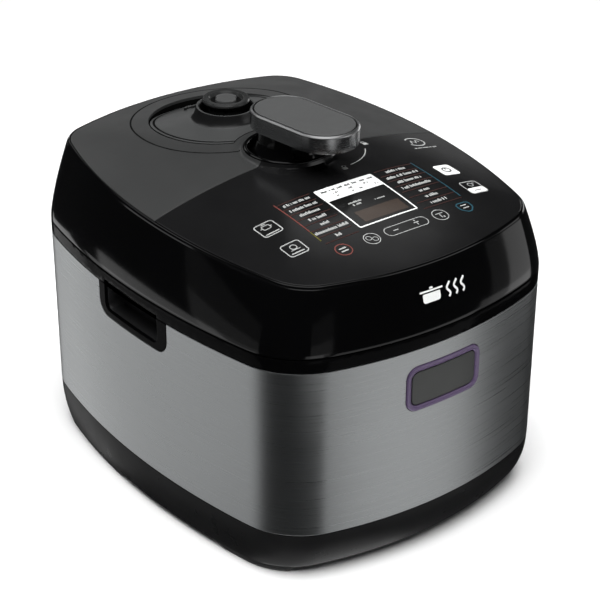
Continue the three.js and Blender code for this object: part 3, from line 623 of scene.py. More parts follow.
def cover(form, loops, surface, spacing, radius, depth, marks=()):
    """A closed plate on a surface: smooth top, rounded edges, skirts and an underside."""
    radii = radius if isinstance(radius, tuple) else (radius,) * len(loops)
    inner = [offset(loop, -r) for loop, r in zip(loops, radii)]
    fill(form, inner, spacing, surface, 0.0, marks)
    outer = [rolled(form, loop, surface, r, depth) for loop, r in zip(inner, radii)]
    fill(form, outer, spacing * 3, surface, depth, guided=False)
    return form


def rectangle(x0, x1, y0, y1, radius, steps=6):
    """A rectangle with round corners, anticlockwise."""
    corners = [(x0, y0, radius), (x1, y0, radius), (x1, y1, radius), (x0, y1, radius)]
    return rounded(corners, steps=steps)


def divided(loop, longest):
    """The same loop with its long edges split."""
    out = []
    for i, p in enumerate(loop):
        q = loop[(i + 1) % len(loop)]
        parts = max(1, math.ceil(math.dist(p, q) / longest))
        out += [(p[0] + (q[0] - p[0]) * k / parts, p[1] + (q[1] - p[1]) * k / parts) for k in range(parts)]
    return out


def hinge_bar(radius, x0, x1, edge=1.0, bore=0.0, count=64):
    """A round bar on the hinge's axis, solid or with a bore."""
    profile = rounded([(bore, x0), (radius, x0, edge), (radius, x1, edge), (bore, x1)], closed=bore > 0)
    turns = [2 * math.pi * i / count for i in range(count)]
    y, z = HINGE["y"], HINGE["z"]
    rings = [[(x, y + r * math.cos(a), z + r * math.sin(a)) for a in turns] for r, x in profile]
    return Form().bands(rings, closed=bore > 0)


def carved(made, cutters):
    """Takes bars (radius, x0, x1) along the hinge's axis out of a piece, leaving a plain mesh."""
    for radius, x0, x1 in cutters:
        cutter = in_scene("cutter", hinge_bar(radius, x0, x1, edge=0.4).mesh("cutter"))
        cut = made.modifiers.new("cut", "BOOLEAN")
        cut.operation = "DIFFERENCE"
        cut.solver = "EXACT"
        cut.object = cutter
        graph = bpy.context.evaluated_depsgraph_get()
        made.data = bpy.data.meshes.new_from_object(made.evaluated_get(graph))
        made.modifiers.clear()
        bpy.data.meshes.remove(cutter.data)
    smoothed(made.data, 30)


# ---- base, feet and steel ----


def base_rings(inset):
    rings = []
    low, high = BASE_Z, STEEL_Z[0] - 0.3
    foot, top = outline(FOOTPRINT, inset), outline(BODY, inset + 0.2)
    rings.append(ring(outline(FOOTPRINT, inset + 1.4), low))
    rings.append(ring(outline(FOOTPRINT, inset + 0.5), low + 0.35))
    for i in range(15):
        step = 0.028 + 0.972 * i / 14
        rings.append(ring(between(foot, top, 1 - (1 - step) ** 2.2), low + (high - low) * step))
    rings[-1] = ring(outline(BODY, inset + 0.25), high - 0.5)
    rings.append(ring(outline(BODY, inset + 0.7), high))
    return rings


base = Form().bands(base_rings(0) + base_rings(3)[::-1], closed=True)
piece("base_shell_skin", base, base_black, "body", ("base_shell",))


def foot(place, sign, low, high):
    """A foot that follows the base's edge round one corner and thins out at its ends."""
    outer, inner = outline(FOOTPRINT, 0.7), outline(FOOTPRINT, 20)
    chosen = [i for i, (x, y) in enumerate(outer) if sign * x > 112 and low < y < high]
    breaks = [k for k in range(1, len(chosen)) if chosen[k] != chosen[k - 1] + 1]
    if breaks:
        chosen = chosen[breaks[0]:] + chosen[:breaks[0]]
    count = len(chosen)
    slices = []
    for k, i in enumerate(chosen):
        ease = min(1, k / 3, (count - 1 - k) / 3)
        lift = 3.9 * (1 - math.sqrt(max(0, 1 - (1 - ease) ** 2)))
        a, b = Vector(outer[i]), Vector(inner[i])
        across = (b - a).normalized()
        reach = (b - a).length

        def at(distance, z):
            p = a + across * distance
            return (p.x, p.y, z)

        slices.append([
            at(0, 4.4), at(0.1, max(2, lift)), at(0.6, max(0.6, lift)), at(1.6, lift),
            at(reach - 1.5, lift), at(reach, max(1, lift)), at(reach, 4.4),
        ])
    form = Form().closed(slices)
    piece("foot_skin_" + place, form, rubber, "body", ("foot_" + place,), angle=50)


for end, low, high in (("front", -200, -84), ("rear", 26, 200)):
    for side, sign in (("left", -1), ("right", 1)):
        foot(f"{end}_{side}", sign, low, high)


def side_span(sign, low, high):
    """Where a stretch of a side, from y low to y high, begins and ends along the wall."""
    return sorted((body_wall.side(sign, low), body_wall.side(sign, high)))


def notch_line(ends, top, bottom, radius, steps):
    """A U-shaped line, from the left end over the bottom to the right one."""
    corners = [(ends[0], top), (ends[0], bottom, radius), (ends[1], bottom, radius), (ends[1], top)]
    return rounded(corners, closed=False, steps=steps)


def grip_notch(sign, grow, top):
    """The U-shaped outline of a side grip, in wall coordinates, anticlockwise."""
    ends = side_span(sign, GRIP["low"] - grow, GRIP["high"] + grow)
    return notch_line(ends, top, GRIP["bottom"] - grow, GRIP["corner"] + grow, 8)


def wrap_loop(low, high, notches):
    """A closed wall band's outline from seam to seam, with U notches let in from the top."""
    line = [(0.0, low), (body_wall.length, low), (body_wall.length, high)]
    for notch in sorted(notches, key=lambda n: -n[0][0]):
        line += [(u, v) for u, v in reversed(notch)]
    line.append((0.0, high))
    return line


def on_seam(u):
    return u < 1e-3 or u > body_wall.length - 1e-3


def shifted(loop, distance):
    """An offset that leaves the seam's points on the seam."""
    moved = offset(loop, distance)
    return [(p[0], q[1]) if on_seam(p[0]) else q for p, q in zip(loop, moved)]


def wall_cover(loops, spacing, radius, depth):
    """Like cover, but for a band that closes on itself round the body."""
    form = Form()
    inner = [shifted(loop, -radius) for loop in loops]
    fill(form, inner, spacing, body_wall)
    for loop in inner:
        rings = []
        for k in range(4):
            turn = math.pi / 2 * k / 3
            edge = shifted(loop, radius * math.sin(turn)) if k else loop
            rings.append([body_wall(u, v, radius * (1 - math.cos(turn))) for u, v in edge])
        rings.append([body_wall(u, v, depth) for u, v in shifted(loop, radius)])
        for low, high in zip(rings, rings[1:]):
            for i in range(len(loop)):
                j = (i + 1) % len(loop)
                if on_seam(loop[i][0]) and on_seam(loop[j][0]):
                    continue
                form.face((low[i], low[j], high[j], high[i]))
    fill(form, [shifted(loop, radius) for loop in inner], spacing * 2, body_wall, depth, guided=False)
    return form


def button_rectangle(inset, radius):
    half, up = BUTTON["width"] / 2 - inset, BUTTON["height"] / 2 - inset
    return rectangle(-half, half, BUTTON["z"] - up, BUTTON["z"] + up, radius, 8)


def button_hole():
    loop = button_rectangle(-GAP, BUTTON["corner"] + GAP)
    return [(body_wall.front(x), z) for x, z in divided(loop, 5)][::-1]


def dock_hole():
    half = DOCK["half_width"] + GAP
    loop = rectangle(-half, half, DOCK["low"] - GAP, DOCK["high"] + GAP, 6 + GAP, 6)
    return [(body_wall.rear(x), z) for x, z in divided(loop, 5)]


notches = [grip_notch(sign, GAP, STEEL_Z[1]) for sign in (-1, 1)]
steel_loops = [divided(wrap_loop(*STEEL_Z, notches), 6), button_hole(), dock_hole()]
steel_form = wall_cover(steel_loops, 5.0, 0.35, 1.5)
piece("steel_wrap_skin", steel_form, steel, "body", ("steel_wrap",))

# ---- upper ring and grips ----


def ring_notch(sign):
    """The part of the grip's mouth that rises into the upper ring."""
    return notch_line(side_span(sign, *GRIP["mouth"]), STEEL_Z[1] + GAP, GRIP["mouth_z"][1], 3.5, 6)


def ring_loop():
    low, high = STEEL_Z[1] + GAP, SEAM_Z - GAP
    line = [(0.0, low)]
    for notch in sorted((ring_notch(sign) for sign in (-1, 1)), key=lambda n: n[0][0]):
        line += notch
    line += [(body_wall.length, low), (body_wall.length, high), (0.0, high)]
    return line


# Bars taken out of the ring, so that the lid can swing up past it.
LID_ROOM = [(20, -62.7, 62.7), (9.2, -94, -72.4), (9.2, 72.4, 94)]
ring_form = wall_cover([divided(ring_loop(), 5)], 5.0, 0.7, 5.0)
ring_wall = piece("upper_ring_wall", ring_form, ring_gloss, "body", ("upper_ring",))
carved(ring_wall, LID_ROOM)


def deck():
    """The ring's flat top, the well in it, and the shelf that the vessel hangs from."""
    high, well = SEAM_Z - 0.35, 131.3
    outer = outline(BODY, 1.3)
    levels = [ring(outline(BODY, 4.5), high - 3.0), ring(outline(BODY, 0.7), high - 0.6), ring(outer, high)]
    hole = circle(0, 0, well, len(outer))
    first = max(range(len(hole)), key=lambda i: hole[i][0] * outer[0][0] + hole[i][1] * outer[0][1])
    hole = hole[first:] + hole[:first]
    section = (
        (well, high), (130.7, high - 0.2), (130.5, high - 0.8), (130.5, 171.2),
        (113.4, 171.0), (113.4, 168.0), (133, 168.0), (133, high - 3.0),
    )
    for radius, z in section:
        levels.append([(x * radius / well, y * radius / well, z) for x, y in hole])
    return Form().bands(levels, closed=True)


ring_deck = piece("upper_ring_deck", deck(), ring_gloss, "body", angle=30)
carved(ring_deck, LID_ROOM)


def grip(side, sign):
    """A bezel that fills the steel's notch, and the pocket behind its mouth."""
    top = STEEL_Z[1] + 0.1
    low, high = GRIP["mouth_z"][0], GRIP["mouth_z"][1] - 0.4
    left, right = side_span(sign, *GRIP["mouth"])
    bezel = divided(grip_notch(sign, 0.0, top), 5) + notch_line((left, right), top, low, 6, 7)[::-1]
    form = cover(Form(), [divided(bezel, 5)], body_wall, 5.0, 0.6, 3.0)
    piece(side + "_grip_bezel", form, ring_gloss, "body", (side + "_grip_pocket",))

    rings = []
    depth, wall = GRIP["depth"], 1.4
    section = (
        (-wall, depth + 1.8), (-wall, 2.6), (0, 2.6), (0.6, 5), (0.8, 11), (2.2, depth - 1.2), (4.2, depth),
    )
    for inset, inwards in section:
        loop = rectangle(left + inset, right - inset, low + inset, high - inset, 6, 6)
        rings.append([body_wall(u, v, inwards) for u, v in loop])
    pocket = Form().closed(rings)
    piece(side + "_grip_pocket", pocket, satin_black, "body")


grip("left", -1)
grip("right", 1)

# ---- lid release ----


def release_frame():
    """The frame round the button: a section of (inset, height above the wall), carried round the button."""
    section = (
        (0, -1.3), (0, 0.2), (0.15, 0.9), (0.7, 1.35), (1.5, 1.4),
        (3.0, 1.15), (3.9, 0.6), (4.35, -0.2), (4.35, -4.5), (1.0, -4.5),
    )
    long_sides, short_sides = (8, 26), (17, 35)
    rings = []
    for inset, proud in section:
        parts = button_rectangle(inset, max(BUTTON["corner"] - inset * 0.85, 1.5))
        dense = []
        for i, p in enumerate(parts):
            q = parts[(i + 1) % len(parts)]
            steps = 12 if i in long_sides else 6 if i in short_sides else 1
            dense += [tuple(a + (b - a) * k / steps for a, b in zip(p, q)) for k in range(steps)]
        rings.append([body_wall(body_wall.front(x), z, -proud) for x, z in dense])
    return Form().bands(rings, closed=True)


piece("release_frame_skin", release_frame(), purple, "body", ("release_frame",))


def button_surface(u, v, inwards=0.0):
    return body_wall(u, v, inwards - 0.4)


button_surface.normal = body_wall.normal
face_loop = button_rectangle(BUTTON["border"] + 0.05, BUTTON["corner"] - 4)
face_loop = [(body_wall.front(x), z) for x, z in divided(face_loop, 4)]
face_form = cover(Form(), [face_loop], button_surface, 4.0, 0.7, 4.6)
piece("release_button_face", face_form, button_grey, "button", ("release_button",))

# ---- lid ----


def band_wall(inset, share, low):
    points = between(outline(BODY, inset), outline(CREASE, inset), share**BAND_POWER)
    return ring(points, lambda x, y: low + (crease_height(y) - low) * share)


def crease_ring(inset, drop):
    return [(x, y, crease_height(y) - drop) for x, y in outline(CREASE, inset)]


def lid_band():
    """The tall side of the lid: up its outer face, over the crease, and down inside."""
    low = SEAM_Z + GAP
    up_outside = (0.03, 0.08, 0.16, 0.25, 0.35, 0.45, 0.55, 0.65, 0.75, 0.84, 0.91, 0.955)
    over_crease = (
        (0.02, 2.0), (0.16, 1.25), (0.5, 0.62), (0.95, 0.2), (1.3, 0.08), (1.5, 0.4), (1.55, 3.1), (4.5, 3.3),
    )
    rings = [ring(outline(BODY, inset), low + lift) for inset, lift in ((1.3, 0), (0.5, 0.12), (0.12, 0.6))]
    rings += [band_wall(0, share, low) for share in up_outside]
    rings += [crease_ring(inset, drop) for inset, drop in over_crease]
    rings += [band_wall(3, share, low) for share in (0.8, 0.5, 0.25, 0.06)]
    rings.append(ring(outline(BODY, 3.2), low))
    return Form().bands(rings, closed=True)


band = piece("lid_band_skin", lid_band(), gloss, "lid", ("lid_band",))
carved(band, [(17, -72.8, -62), (17, 62, 72.8)])


def split_height(x):
    return PANEL_EDGE["y"] - PANEL_EDGE["radius"] + math.sqrt(PANEL_EDGE["radius"] ** 2 - x**2)


def clipped(points, front, gap):
    """The part of the crease outline in front of, or behind, the line between panel and rear cover."""
    sign = 1 if front else -1

    def beyond(p):
        return sign * (split_height(p[0]) - p[1]) - gap

    def crossing(a, b):
        t = beyond(a) / (beyond(a) - beyond(b))
        return (a[0] + (b[0] - a[0]) * t, a[1] + (b[1] - a[1]) * t)

    count = len(points)
    first = next(i for i in range(count) if beyond(points[i - 1]) < 0 <= beyond(points[i]))
    line = [crossing(points[first - 1], points[first])]
    for k in range(count):
        p = points[(first + k) % count]
        if beyond(p) < 0:
            line.append(crossing(points[(first + k - 1) % count], p))
            break
        line.append(p)
    return line


def split_line(x0, x1, shift, count=24):
    xs = [x0 + (x1 - x0) * i / (count - 1) for i in range(count)]
    return [(x, split_height(x) + shift) for x in xs]


def meeting_angle(shift, radius):
    """The angle below +X at which the split line meets a circle about the knob's axis."""
    x = radius
    for _ in range(30):
        x = math.sqrt(radius**2 - (split_height(x) + shift) ** 2)
    return math.degrees(math.atan2(split_height(x) + shift, x)), x


def top_loop(front):
    """The edge of the control panel, or of the rear cover, with a bite out of it for the knob's bowl."""
    side = 1 if front else -1
    bowl = LIP["radius"]
    edge = clipped(outline(CREASE, 2.3), front, GAP)
    angle, x = meeting_angle(-side * GAP, bowl)
    start, stop = (-180 - angle, angle) if front else (angle, 180 - angle)
    inwards = split_line(edge[-1][0], side * x, -side * GAP)
    outwards = split_line(-side * x, edge[0][0], -side * GAP)
    return edge + inwards[1:-1] + circle(0, 0, bowl, 60, True, start, stop) + outwards[1:-1]


def recess_cusp(radius, seat):
    """How far forward a circle round the recess meets a circle round the knob's axis."""
    return (RECESS["y"] ** 2 + seat**2 - radius**2) / (2 * RECESS["y"])


def recess_arc(radius, seat, count=130, clockwise=False):
    """The part of a circle round the recess that lies outside a circle round the knob's axis."""
    y = recess_cusp(radius, seat)
    side = math.degrees(math.atan2(y - RECESS["y"], math.sqrt(seat**2 - y**2)))
    return circle(0, RECESS["y"], radius, count, clockwise, side, 180 - side)


def recess_loop(radius, seat):
    """The valve recess: a round hole with a bite where the knob's bowl comes into it."""
    cusp = math.degrees(math.asin(recess_cusp(radius, seat) / seat))
    bite = circle(0, 0, seat, 26, True, cusp, 180 - cusp)
    return recess_arc(radius, seat) + bite[1:-1]


# A ring groove in the rear cover: its radius, half its width, and its depth.
GROOVE = (75.2, 0.95, 0.75)
plain_dome = Dome()
grooved_dome = Dome([GROOVE])
# Points that keep the triangles fine round the flare and along the groove.
flare_marks = [p for radius in (37, 38.5, 40, 42, 44) for p in circle(0, 0, radius, 132)]
groove_radii = [GROOVE[0] + share * GROOVE[1] for share in (-1, -0.5, 0, 0.5, 1)]
groove_marks = [p for radius in groove_radii for p in circle(0, RECESS["y"], radius, 300)]
rear_loops = [divided(top_loop(False), 4), recess_loop(RECESS["radius"], SEAT_RADIUS)[::-1]]
rear_form = cover(Form(), rear_loops, grooved_dome, 4.2, (0.6, 0.3), 2.6, groove_marks + flare_marks)
piece("lid_rear_top_skin", rear_form, rear_grey, "lid", ("lid_rear_top",))
panel_form = cover(Form(), [divided(top_loop(True), 4)], plain_dome, 4.2, 0.6, 2.6, flare_marks)
piece("control_panel_skin", panel_form, panel_black, "lid", ("control_panel",))


def recess_strip(name, arc, section):
    """A black strip of painted shade along an arc round the recess, where a groove or wall is in shade. Its
    section gives places that lie some way further out.
    """
    rows = []
    for x, y in arc:
        away = Vector((x, y - RECESS["y"])).normalized()
        rows.append(section(lambda reach: (x + away.x * reach, y + away.y * reach)))
    piece(name, Form().closed(rows), painted_shade_black, "lid", angle=40)


def groove_section(out):
    """Along the bottom of the ring groove, under the dome's face."""
    places = [(*out(reach), sunk) for reach, sunk in ((-0.8, 0.6), (-0.75, 0.12), (0.75, 0.12), (0.8, 0.6))]
    return [(px, py, plain_dome.height(px, py) - sunk) for px, py, sunk in places]


def wall_section(out):
    """Up the wall of the recess, to just under the lid's edge."""
    top, foot_z = plain_dome.height(*out(0)) - 0.7, 253.2
    return [(*out(reach), z) for reach, z in ((0.15, foot_z), (0.15, top), (0.9, top), (0.9, foot_z))]


# Painted shade: a black strip along the bottom of the ring groove, so the groove reads as a dark line.
recess_strip("lid_groove_painted_shade", recess_arc(GROOVE[0], SEAT_RADIUS - 6, 260), groove_section)

# ---- valve, its cover and the knob's seat ----


def plate_height(x, y):
    """The valve cover's face: level with the lid at the front, sunk at the rear, and rising to the collar."""
    z = plain_dome.height(x, y) - RECESS["drop"] * max(0.0, (y - RECESS["level"]) / 56) ** 2
    away = math.hypot(x, y - VALVE["y"])
    near = max(0.0, VALVE["rise_from"] - max(away, VALVE["foot"]))
    z += VALVE["rise"] * (near / (VALVE["rise_from"] - VALVE["foot"])) ** 2
    if away < VALVE["foot"]:
        steep = (VALVE["foot"] - away) / (VALVE["foot"] - VALVE["lip"])
        z += (VALVE["collar"] - z) * min(steep, 1) ** 2.6
    return z


class CoverSurface(Sheet):
    def height(self, x, y):
        return plate_height(x, y)


def cover_reach(turn):
    """How far the valve cover reaches from the valve's axis in a direction."""
    s = math.sin(turn)
    radius, gap, seat = RECESS["inner"] - 0.9, RECESS["y"] - VALVE["y"], SEAT_RADIUS + 0.5
    reach = s * gap + math.sqrt((s * gap) ** 2 - gap**2 + radius**2)
    towards = -VALVE["y"] * s
    inside_seat = towards**2 - VALVE["y"] ** 2 + seat**2
    if towards > 0 and inside_seat > 0:
        reach = min(reach, towards - math.sqrt(inside_seat))
    return reach


def valve_cover():
    """The valve cover in one piece: its face, the flank up to the collar, and the moat inside the collar."""
    spokes = []
    count = 288
    foot, top = VALVE["foot"], VALVE["collar"]
    collar_and_moat = (
        (24.3, top + 0.12), (23.9, top + 0.28), (23.3, top + 0.3), (22.6, top), (22.2, top - 0.7),
        (22, top - 2), (22, 260.6), (9, 260.6), (9, 257.8), (22, 257.8),
    )
    for i in range(count):
        turn = 2 * math.pi * i / count
        c, s = math.cos(turn), math.sin(turn)
        reach = cover_reach(turn)
        line = [(reach, -2.6), (reach, -0.4), (reach - 0.12, -0.12), (reach - 0.4, 0.0)]
        line += [(reach - 0.4 + (foot - reach + 0.4) * k / 12, 0.0) for k in range(1, 13)]
        line += [(foot - (foot - 24.5) * k / 12, 0.0) for k in range(1, 13)]
        spoke = []
        for r, lift in line:
            x, y = r * c, VALVE["y"] + r * s
            spoke.append((x, y, plate_height(x, y) + lift))
        spoke += [(r * c, VALVE["y"] + r * s, z) for r, z in collar_and_moat]
        spokes.append(spoke)
    return Form().bands([list(level) for level in zip(*spokes)], closed=True)


# The cover's flank takes the painted shade of its material.
piece("valve_cover_skin", valve_cover(), plate_grey_painted_shade, "lid", ("valve_well",))


def cover_rim(inner, outer, seat, edge, depth):
    """A narrow plate on the valve cover, between two arcs round the recess."""
    loop = recess_arc(outer, seat) + recess_arc(inner, seat, clockwise=True)
    return cover(Form(), [loop], CoverSurface(), 2.4, edge, depth)


rim_form = cover_rim(RECESS["inner"] + 0.9, RECESS["radius"] - 1.2, SEAT_RADIUS + 0.5, 0.3, 2.6)
piece("valve_cover_rim", rim_form, plate_grey_painted_shade, "lid")
# Painted shade: a black strip sunk in the gap round the valve cover's rim, so the gap reads as a dark line.
seam_form = cover_rim(RECESS["inner"] - 0.85, RECESS["inner"] + 0.85, SEAT_RADIUS + 0.7, 0.1, 2.4)
SEAM_SUNK = 0.15
seam_form.points = [(x, y, z - SEAM_SUNK) for x, y, z in seam_form.points]
piece("valve_cover_seam_painted_shade", seam_form, painted_shade_black, "lid")
# Painted shade: a black sheet over the floor and wall of the moat inside the collar.
turned_piece(
    "valve_moat_painted_shade",
    [(9.3, 260.8), (21.9, 260.8), (21.9, 276.3, 0.2), (21.3, 276.3, 0.2), (21.3, 261.6), (9.3, 261.6)],
    painted_shade_black, "lid", y=VALVE["y"])
# Painted shade: a black strip up the recess wall, just under the lid's edge.
recess_strip("recess_wall_painted_shade", recess_arc(RECESS["radius"], SEAT_RADIUS + 0.6), wall_section)
turned_piece(
    "knob_seat_bowl",
    [(9, 258.2), (35, 258.2), (35.4, 268.6, 0.6), (35.3, 269.9, 0.9), (34.4, 270.7, 0.8), (33.1, 270.7, 0.7),
     (32.1, 269.8, 1.0), (31.6, 267.4, 1.4), (31.3, 261.6, 0.8), (28, 261.2), (9, 261.2)],
    gloss, "lid", ("knob_seat",), count=128)


# The cap's skirt and thick rim, and a shallow dish inside the rim.
turned_piece(
    "valve_cap_skin",
    [(9.4, 267), (14.4, 267, 0.5), (15.0, 279.8, 0.8), (18.2, 280.4, 0.5), (19.3, 281.5, 0.8),
     (19.3, 282.7, 0.7), (18.3, 284.1, 0.8), (14.4, 283.8, 0.7), (12.7, 281.2, 0.5), (0, 281.0),
     (0, 277), (9.4, 277)],
    cap_black, "steam_cap", ("valve_cap",), y=VALVE["y"])


def cap_grip():
    """The round grip in the middle of the dish, with a small notch at either side."""
    count = 96
    rings = []
    for share, z in ((1.0, 281.1), (1.0, 282.9), (0.97, 283.5), (0.9, 283.8), (0.6, 283.95), (0.3, 284.0)):
        line = []
        for i in range(count):
            angle = 2 * math.pi * i / count
            notch = abs(math.cos(angle - math.radians(142))) ** 26
            radius = (9.4 - 1.7 * notch) * share
            line.append((radius * math.cos(angle), VALVE["y"] + radius * math.sin(angle), z))
        rings.append(line)
    return Form().closed(rings)


piece("valve_cap_grip", cap_grip(), cap_grey, "steam_cap", angle=40)
# Painted shade: a thin black ring on the dish round the grip, for the shaded groove there.
turned_piece(
    "valve_cap_groove_painted_shade",
    [(7, 281.1), (12.4, 281.1), (12.4, 281.45), (7, 281.45)],
    painted_shade_black, "steam_cap", y=VALVE["y"], count=72, angle=40)


def finger_tab():
    """A small moulded finger loop at the rear of the valve cover."""
    rings = []
    for i in range(21):
        angle = math.pi * (0.08 + 0.84 * i / 20)
        x, y = -4 + 5.0 * math.cos(angle), 127.0 + 6.0 * math.sin(angle)
        middle = Vector((x, y, plate_height(x, y) + 0.9))
        away = Vector((math.cos(angle), math.sin(angle), 0))
        rings.append([
            tuple(middle + away * 1.3 * math.cos(a) + Vector((0, 0, 1.3 * math.sin(a))))
            for a in (math.radians(30 * k) for k in range(12))
        ])
    return Form().closed(rings)


piece("valve_cover_tab", finger_tab(), plate_grey_painted_shade, "lid", angle=50)

# ---- lock knob ----


def knob_loop(inset, count=40):
    """A block with round ends, turned about the Z axis into the knob's place."""
    radius = KNOB["width"] / 2
    half = KNOB["length"] / 2 - radius
    far = [(x, y + half) for x, y in circle(0, 0, radius - inset, count, False, 0, 180)]
    near = [(x, y - half) for x, y in circle(0, 0, radius - inset, count, False, 180, 360)]
    loop = []
    for a, b in ((far, near), (near, far)):
        loop += a
        p, q = a[-1], b[0]
        loop += [(p[0] + (q[0] - p[0]) * k / 8, p[1] + (q[1] - p[1]) * k / 8) for k in range(1, 8)]
    turn = math.radians(KNOB["turn"])
    placed = []
    for x, y in loop:
        y -= KNOB["forward"]
        placed.append((x * math.cos(turn) - y * math.sin(turn), x * math.sin(turn) + y * math.cos(turn)))
    return placed


def knob_block(levels, hollow=False):
    """A block over the knob's outline, from (inset, z) levels."""
    rings = [ring(knob_loop(inset), z) for inset, z in levels]
    return Form().bands(rings, closed=True) if hollow else Form().closed(rings)


top, low = KNOB["top"], KNOB["bottom"]
rim = knob_block([
    (0.6, low), (0.12, low + 0.2), (0, low + 0.7), (0, low + 4), (0, low + 8),
    (0, top - 2.05), (0.3, top - 2.1), (2.4, top - 2.1), (2.5, low),
], hollow=True)
edge = knob_block([
    (0, top - 2.0), (0.1, top - 1.7), (0.3, top - 1.4), (1.35, top - 0.42),
    (1.65, top - 0.24), (2.0, top - 0.24), (2.25, top - 0.5), (2.3, top - 2.0),
], hollow=True)
inlay = knob_block([
    (3.4, top - 4.4), (3.4, top - 0.75), (3.55, top - 0.3), (4.0, top - 0.06),
    (5.4, top), (14, top), (26, top),
])
core = knob_block([(2.6, low + 0.7), (2.6, top - 4.6)])
piece("knob_rim_skin", rim, knob_metal, "lock", ("knob_rim",), angle=40)
# The chamfer skin carries the lighter knob metal, a painted highlight.
piece("knob_edge_skin", edge, knob_edge_painted_highlight, "lock", angle=40)
piece("knob_inlay_skin", inlay, knob_grey, "lock", ("knob_inlay",), angle=40)
piece("knob_core_skin", core, satin_black, "lock", ("knob_core",))
turned_piece(
    "knob_pedestal_skin",
    [(8.4, 262), (27.6, 262), (29.6, 263.6, 1.0), (29.2, 266.4, 1.5), (26.4, 270.4, 4), (24.0, 275, 6),
     (23.1, 281), (23.0, 287.9, 0.6), (8.4, 287.9)],
    gloss, "lock", ("knob_pedestal",), count=112)

# ---- printed marks on the panel ----


def raised(shapes, surface, depth, longest, spacing):
    """Thin flat-topped prints on a surface. A shape is a list of loops."""
    form = Form()
    for loops in shapes:
        dense = [divided(loop, longest) for loop in loops]
        fill(form, dense, spacing, surface)
        for loop in dense:
            form.bands([[surface(x, y, 0) for x, y in loop], [surface(x, y, depth) for x, y in loop]])
        fill(form, dense, spacing, surface, depth, guided=False)
    return form


def printed(name, shapes, look, thickness=0.14, lift=0.0, stands_for=()):
    """Prints on the panel, from loops in the panel's own plan."""

    def surface(x, y, depth=0.0):
        return plain_dome(x, y, depth - thickness - lift)

    surface.normal = plain_dome.normal
    form = raised(shapes, surface, thickness + 0.05, 4, 6.0)
    piece(name, form, look, "lid", stands_for, angle=30)


def bar(x0, x1, y, height, radius=0.35):
    return [rectangle(x0, x1, y - height / 2, y + height / 2, min(radius, height / 2.1), 3)]


def words(x0, x1, y, height, rng):
    """A line of short marks that stands for a word or two of small print."""
    marks = []
    x = x0
    while x < x1 - 0.8:
        length = min(rng.uniform(0.9, 1.9), x1 - x)
        tall = height * rng.choice((0.72, 0.72, 1.0))
        marks.append(bar(x, x + length * 0.78, y + (tall - height * 0.72) / 2, tall, 0.25))
        x += length
        if rng.random() < 0.16:
            x += 1.1
    return marks


def band_loop(loop, width):
    """A closed line of some width along a loop."""
    return [offset(loop, width / 2), offset(loop, -width / 2)[::-1]]


def stroke(points, width):
    """An open line of some width."""
    left, right = [], []
    for i, p in enumerate(points):
        a = Vector(points[max(i - 1, 0)])
        b = Vector(points[min(i + 1, len(points) - 1)])
        along = (b - a).normalized()
        side = Vector((-along.y, along.x)) * width / 2
        left.append(tuple(Vector(p) + side))
        right.append(tuple(Vector(p) - side))
    return [right + left[::-1]]


def round_band(x, y, radius, width, count=48):
    return band_loop(circle(x, y, radius, count), width)


def arc_line(x, y, across, up, start, stop, step):
    """Points along a part of an ellipse, a step of degrees apart."""
    turns = [math.radians(a) for a in range(start, stop, step)]
    return [(x + across * math.cos(a), y + up * math.sin(a)) for a in turns]


rng = random.Random(7)
ROW_STEP = 8.4
row_y = [-70.6 - ROW_STEP * i for i in range(7)]
small_print = []
for y, wide_left, wide_right in zip(row_y, (25, 25, 20, 16, 8, 31, 6), (20, 32, 24, 29, 10, 12, 16)):
    for x, wide in ((-46.5, wide_left), (50.2, wide_right)):
        small_print += words(x - wide / 2, x + wide / 2, y, 3.3, rng)
printed("print_rows", small_print, grey_ink)

rules = []
for y in (row_y[0] + ROW_STEP / 2, *(y - ROW_STEP / 2 for y in row_y)):
    rules += [bar(-62.5, -31.5, y, 0.8), bar(31.5, 69.5, y, 0.8)]
printed("print_rules", rules, brown_ink)
printed("print_red", [bar(-63.6, -62.6, -85.6, 43.6), round_band(-55.4, -137.2, 6.4, 0.9)], red_ink)
printed("print_yellow", [bar(-63.6, -62.6, -114.4, 13.2)], yellow_ink)
shield = rounded(
    [(56.6, -131.2, 3), (69.4, -131.2, 3), (69.0, -138.4, 4), (63, -144.2, 4), (57.0, -138.4, 4)], steps=6)
printed("print_teal", [bar(69.6, 70.6, -94.0, 58.4), band_loop(shield[::-1], 1.1)], teal_ink)

KEY = 8.2


def key_ring(x, y, up=KEY):
    return band_loop(rectangle(x - KEY, x + KEY, y - up, y + up, 2.6, 6), 0.9)


# The outlines of the keys, and the marks on them as bars of (from x, to x, y, height).
keys = [
    key_ring(-84.4, -85.6), key_ring(-84.6, -117.2, 7.6), key_ring(90.2, -116.2, 8.6),
    round_band(-28.8, -137.0, 6.3, 0.6), round_band(37.6, -136.8, 6.4, 0.6),
    band_loop(rectangle(-15.8, 24.4, -141.8, -131.8, 4.8, 8), 0.6),
]
key_bars = (
    (-8.4, -3.6, -136.9, 0.9), (11.8, 16.6, -136.2, 0.9),
    (13.75, 14.65, -133.8, 2.0), (13.75, 14.65, -138.2, 2.6),
    (-58.6, -52.2, -135.6, 1.3), (-58.6, -52.2, -138.8, 1.3),
    (60.2, 65.8, -134.2, 1.1), (60.2, 65.8, -137.6, 1.1),
    (-90.6, -78.4, -91.4, 1.1), (-90.4, -79.2, -122.0, 1.1),
)
printed("print_keys", keys + [bar(*marks) for marks in key_bars], grey_ink)
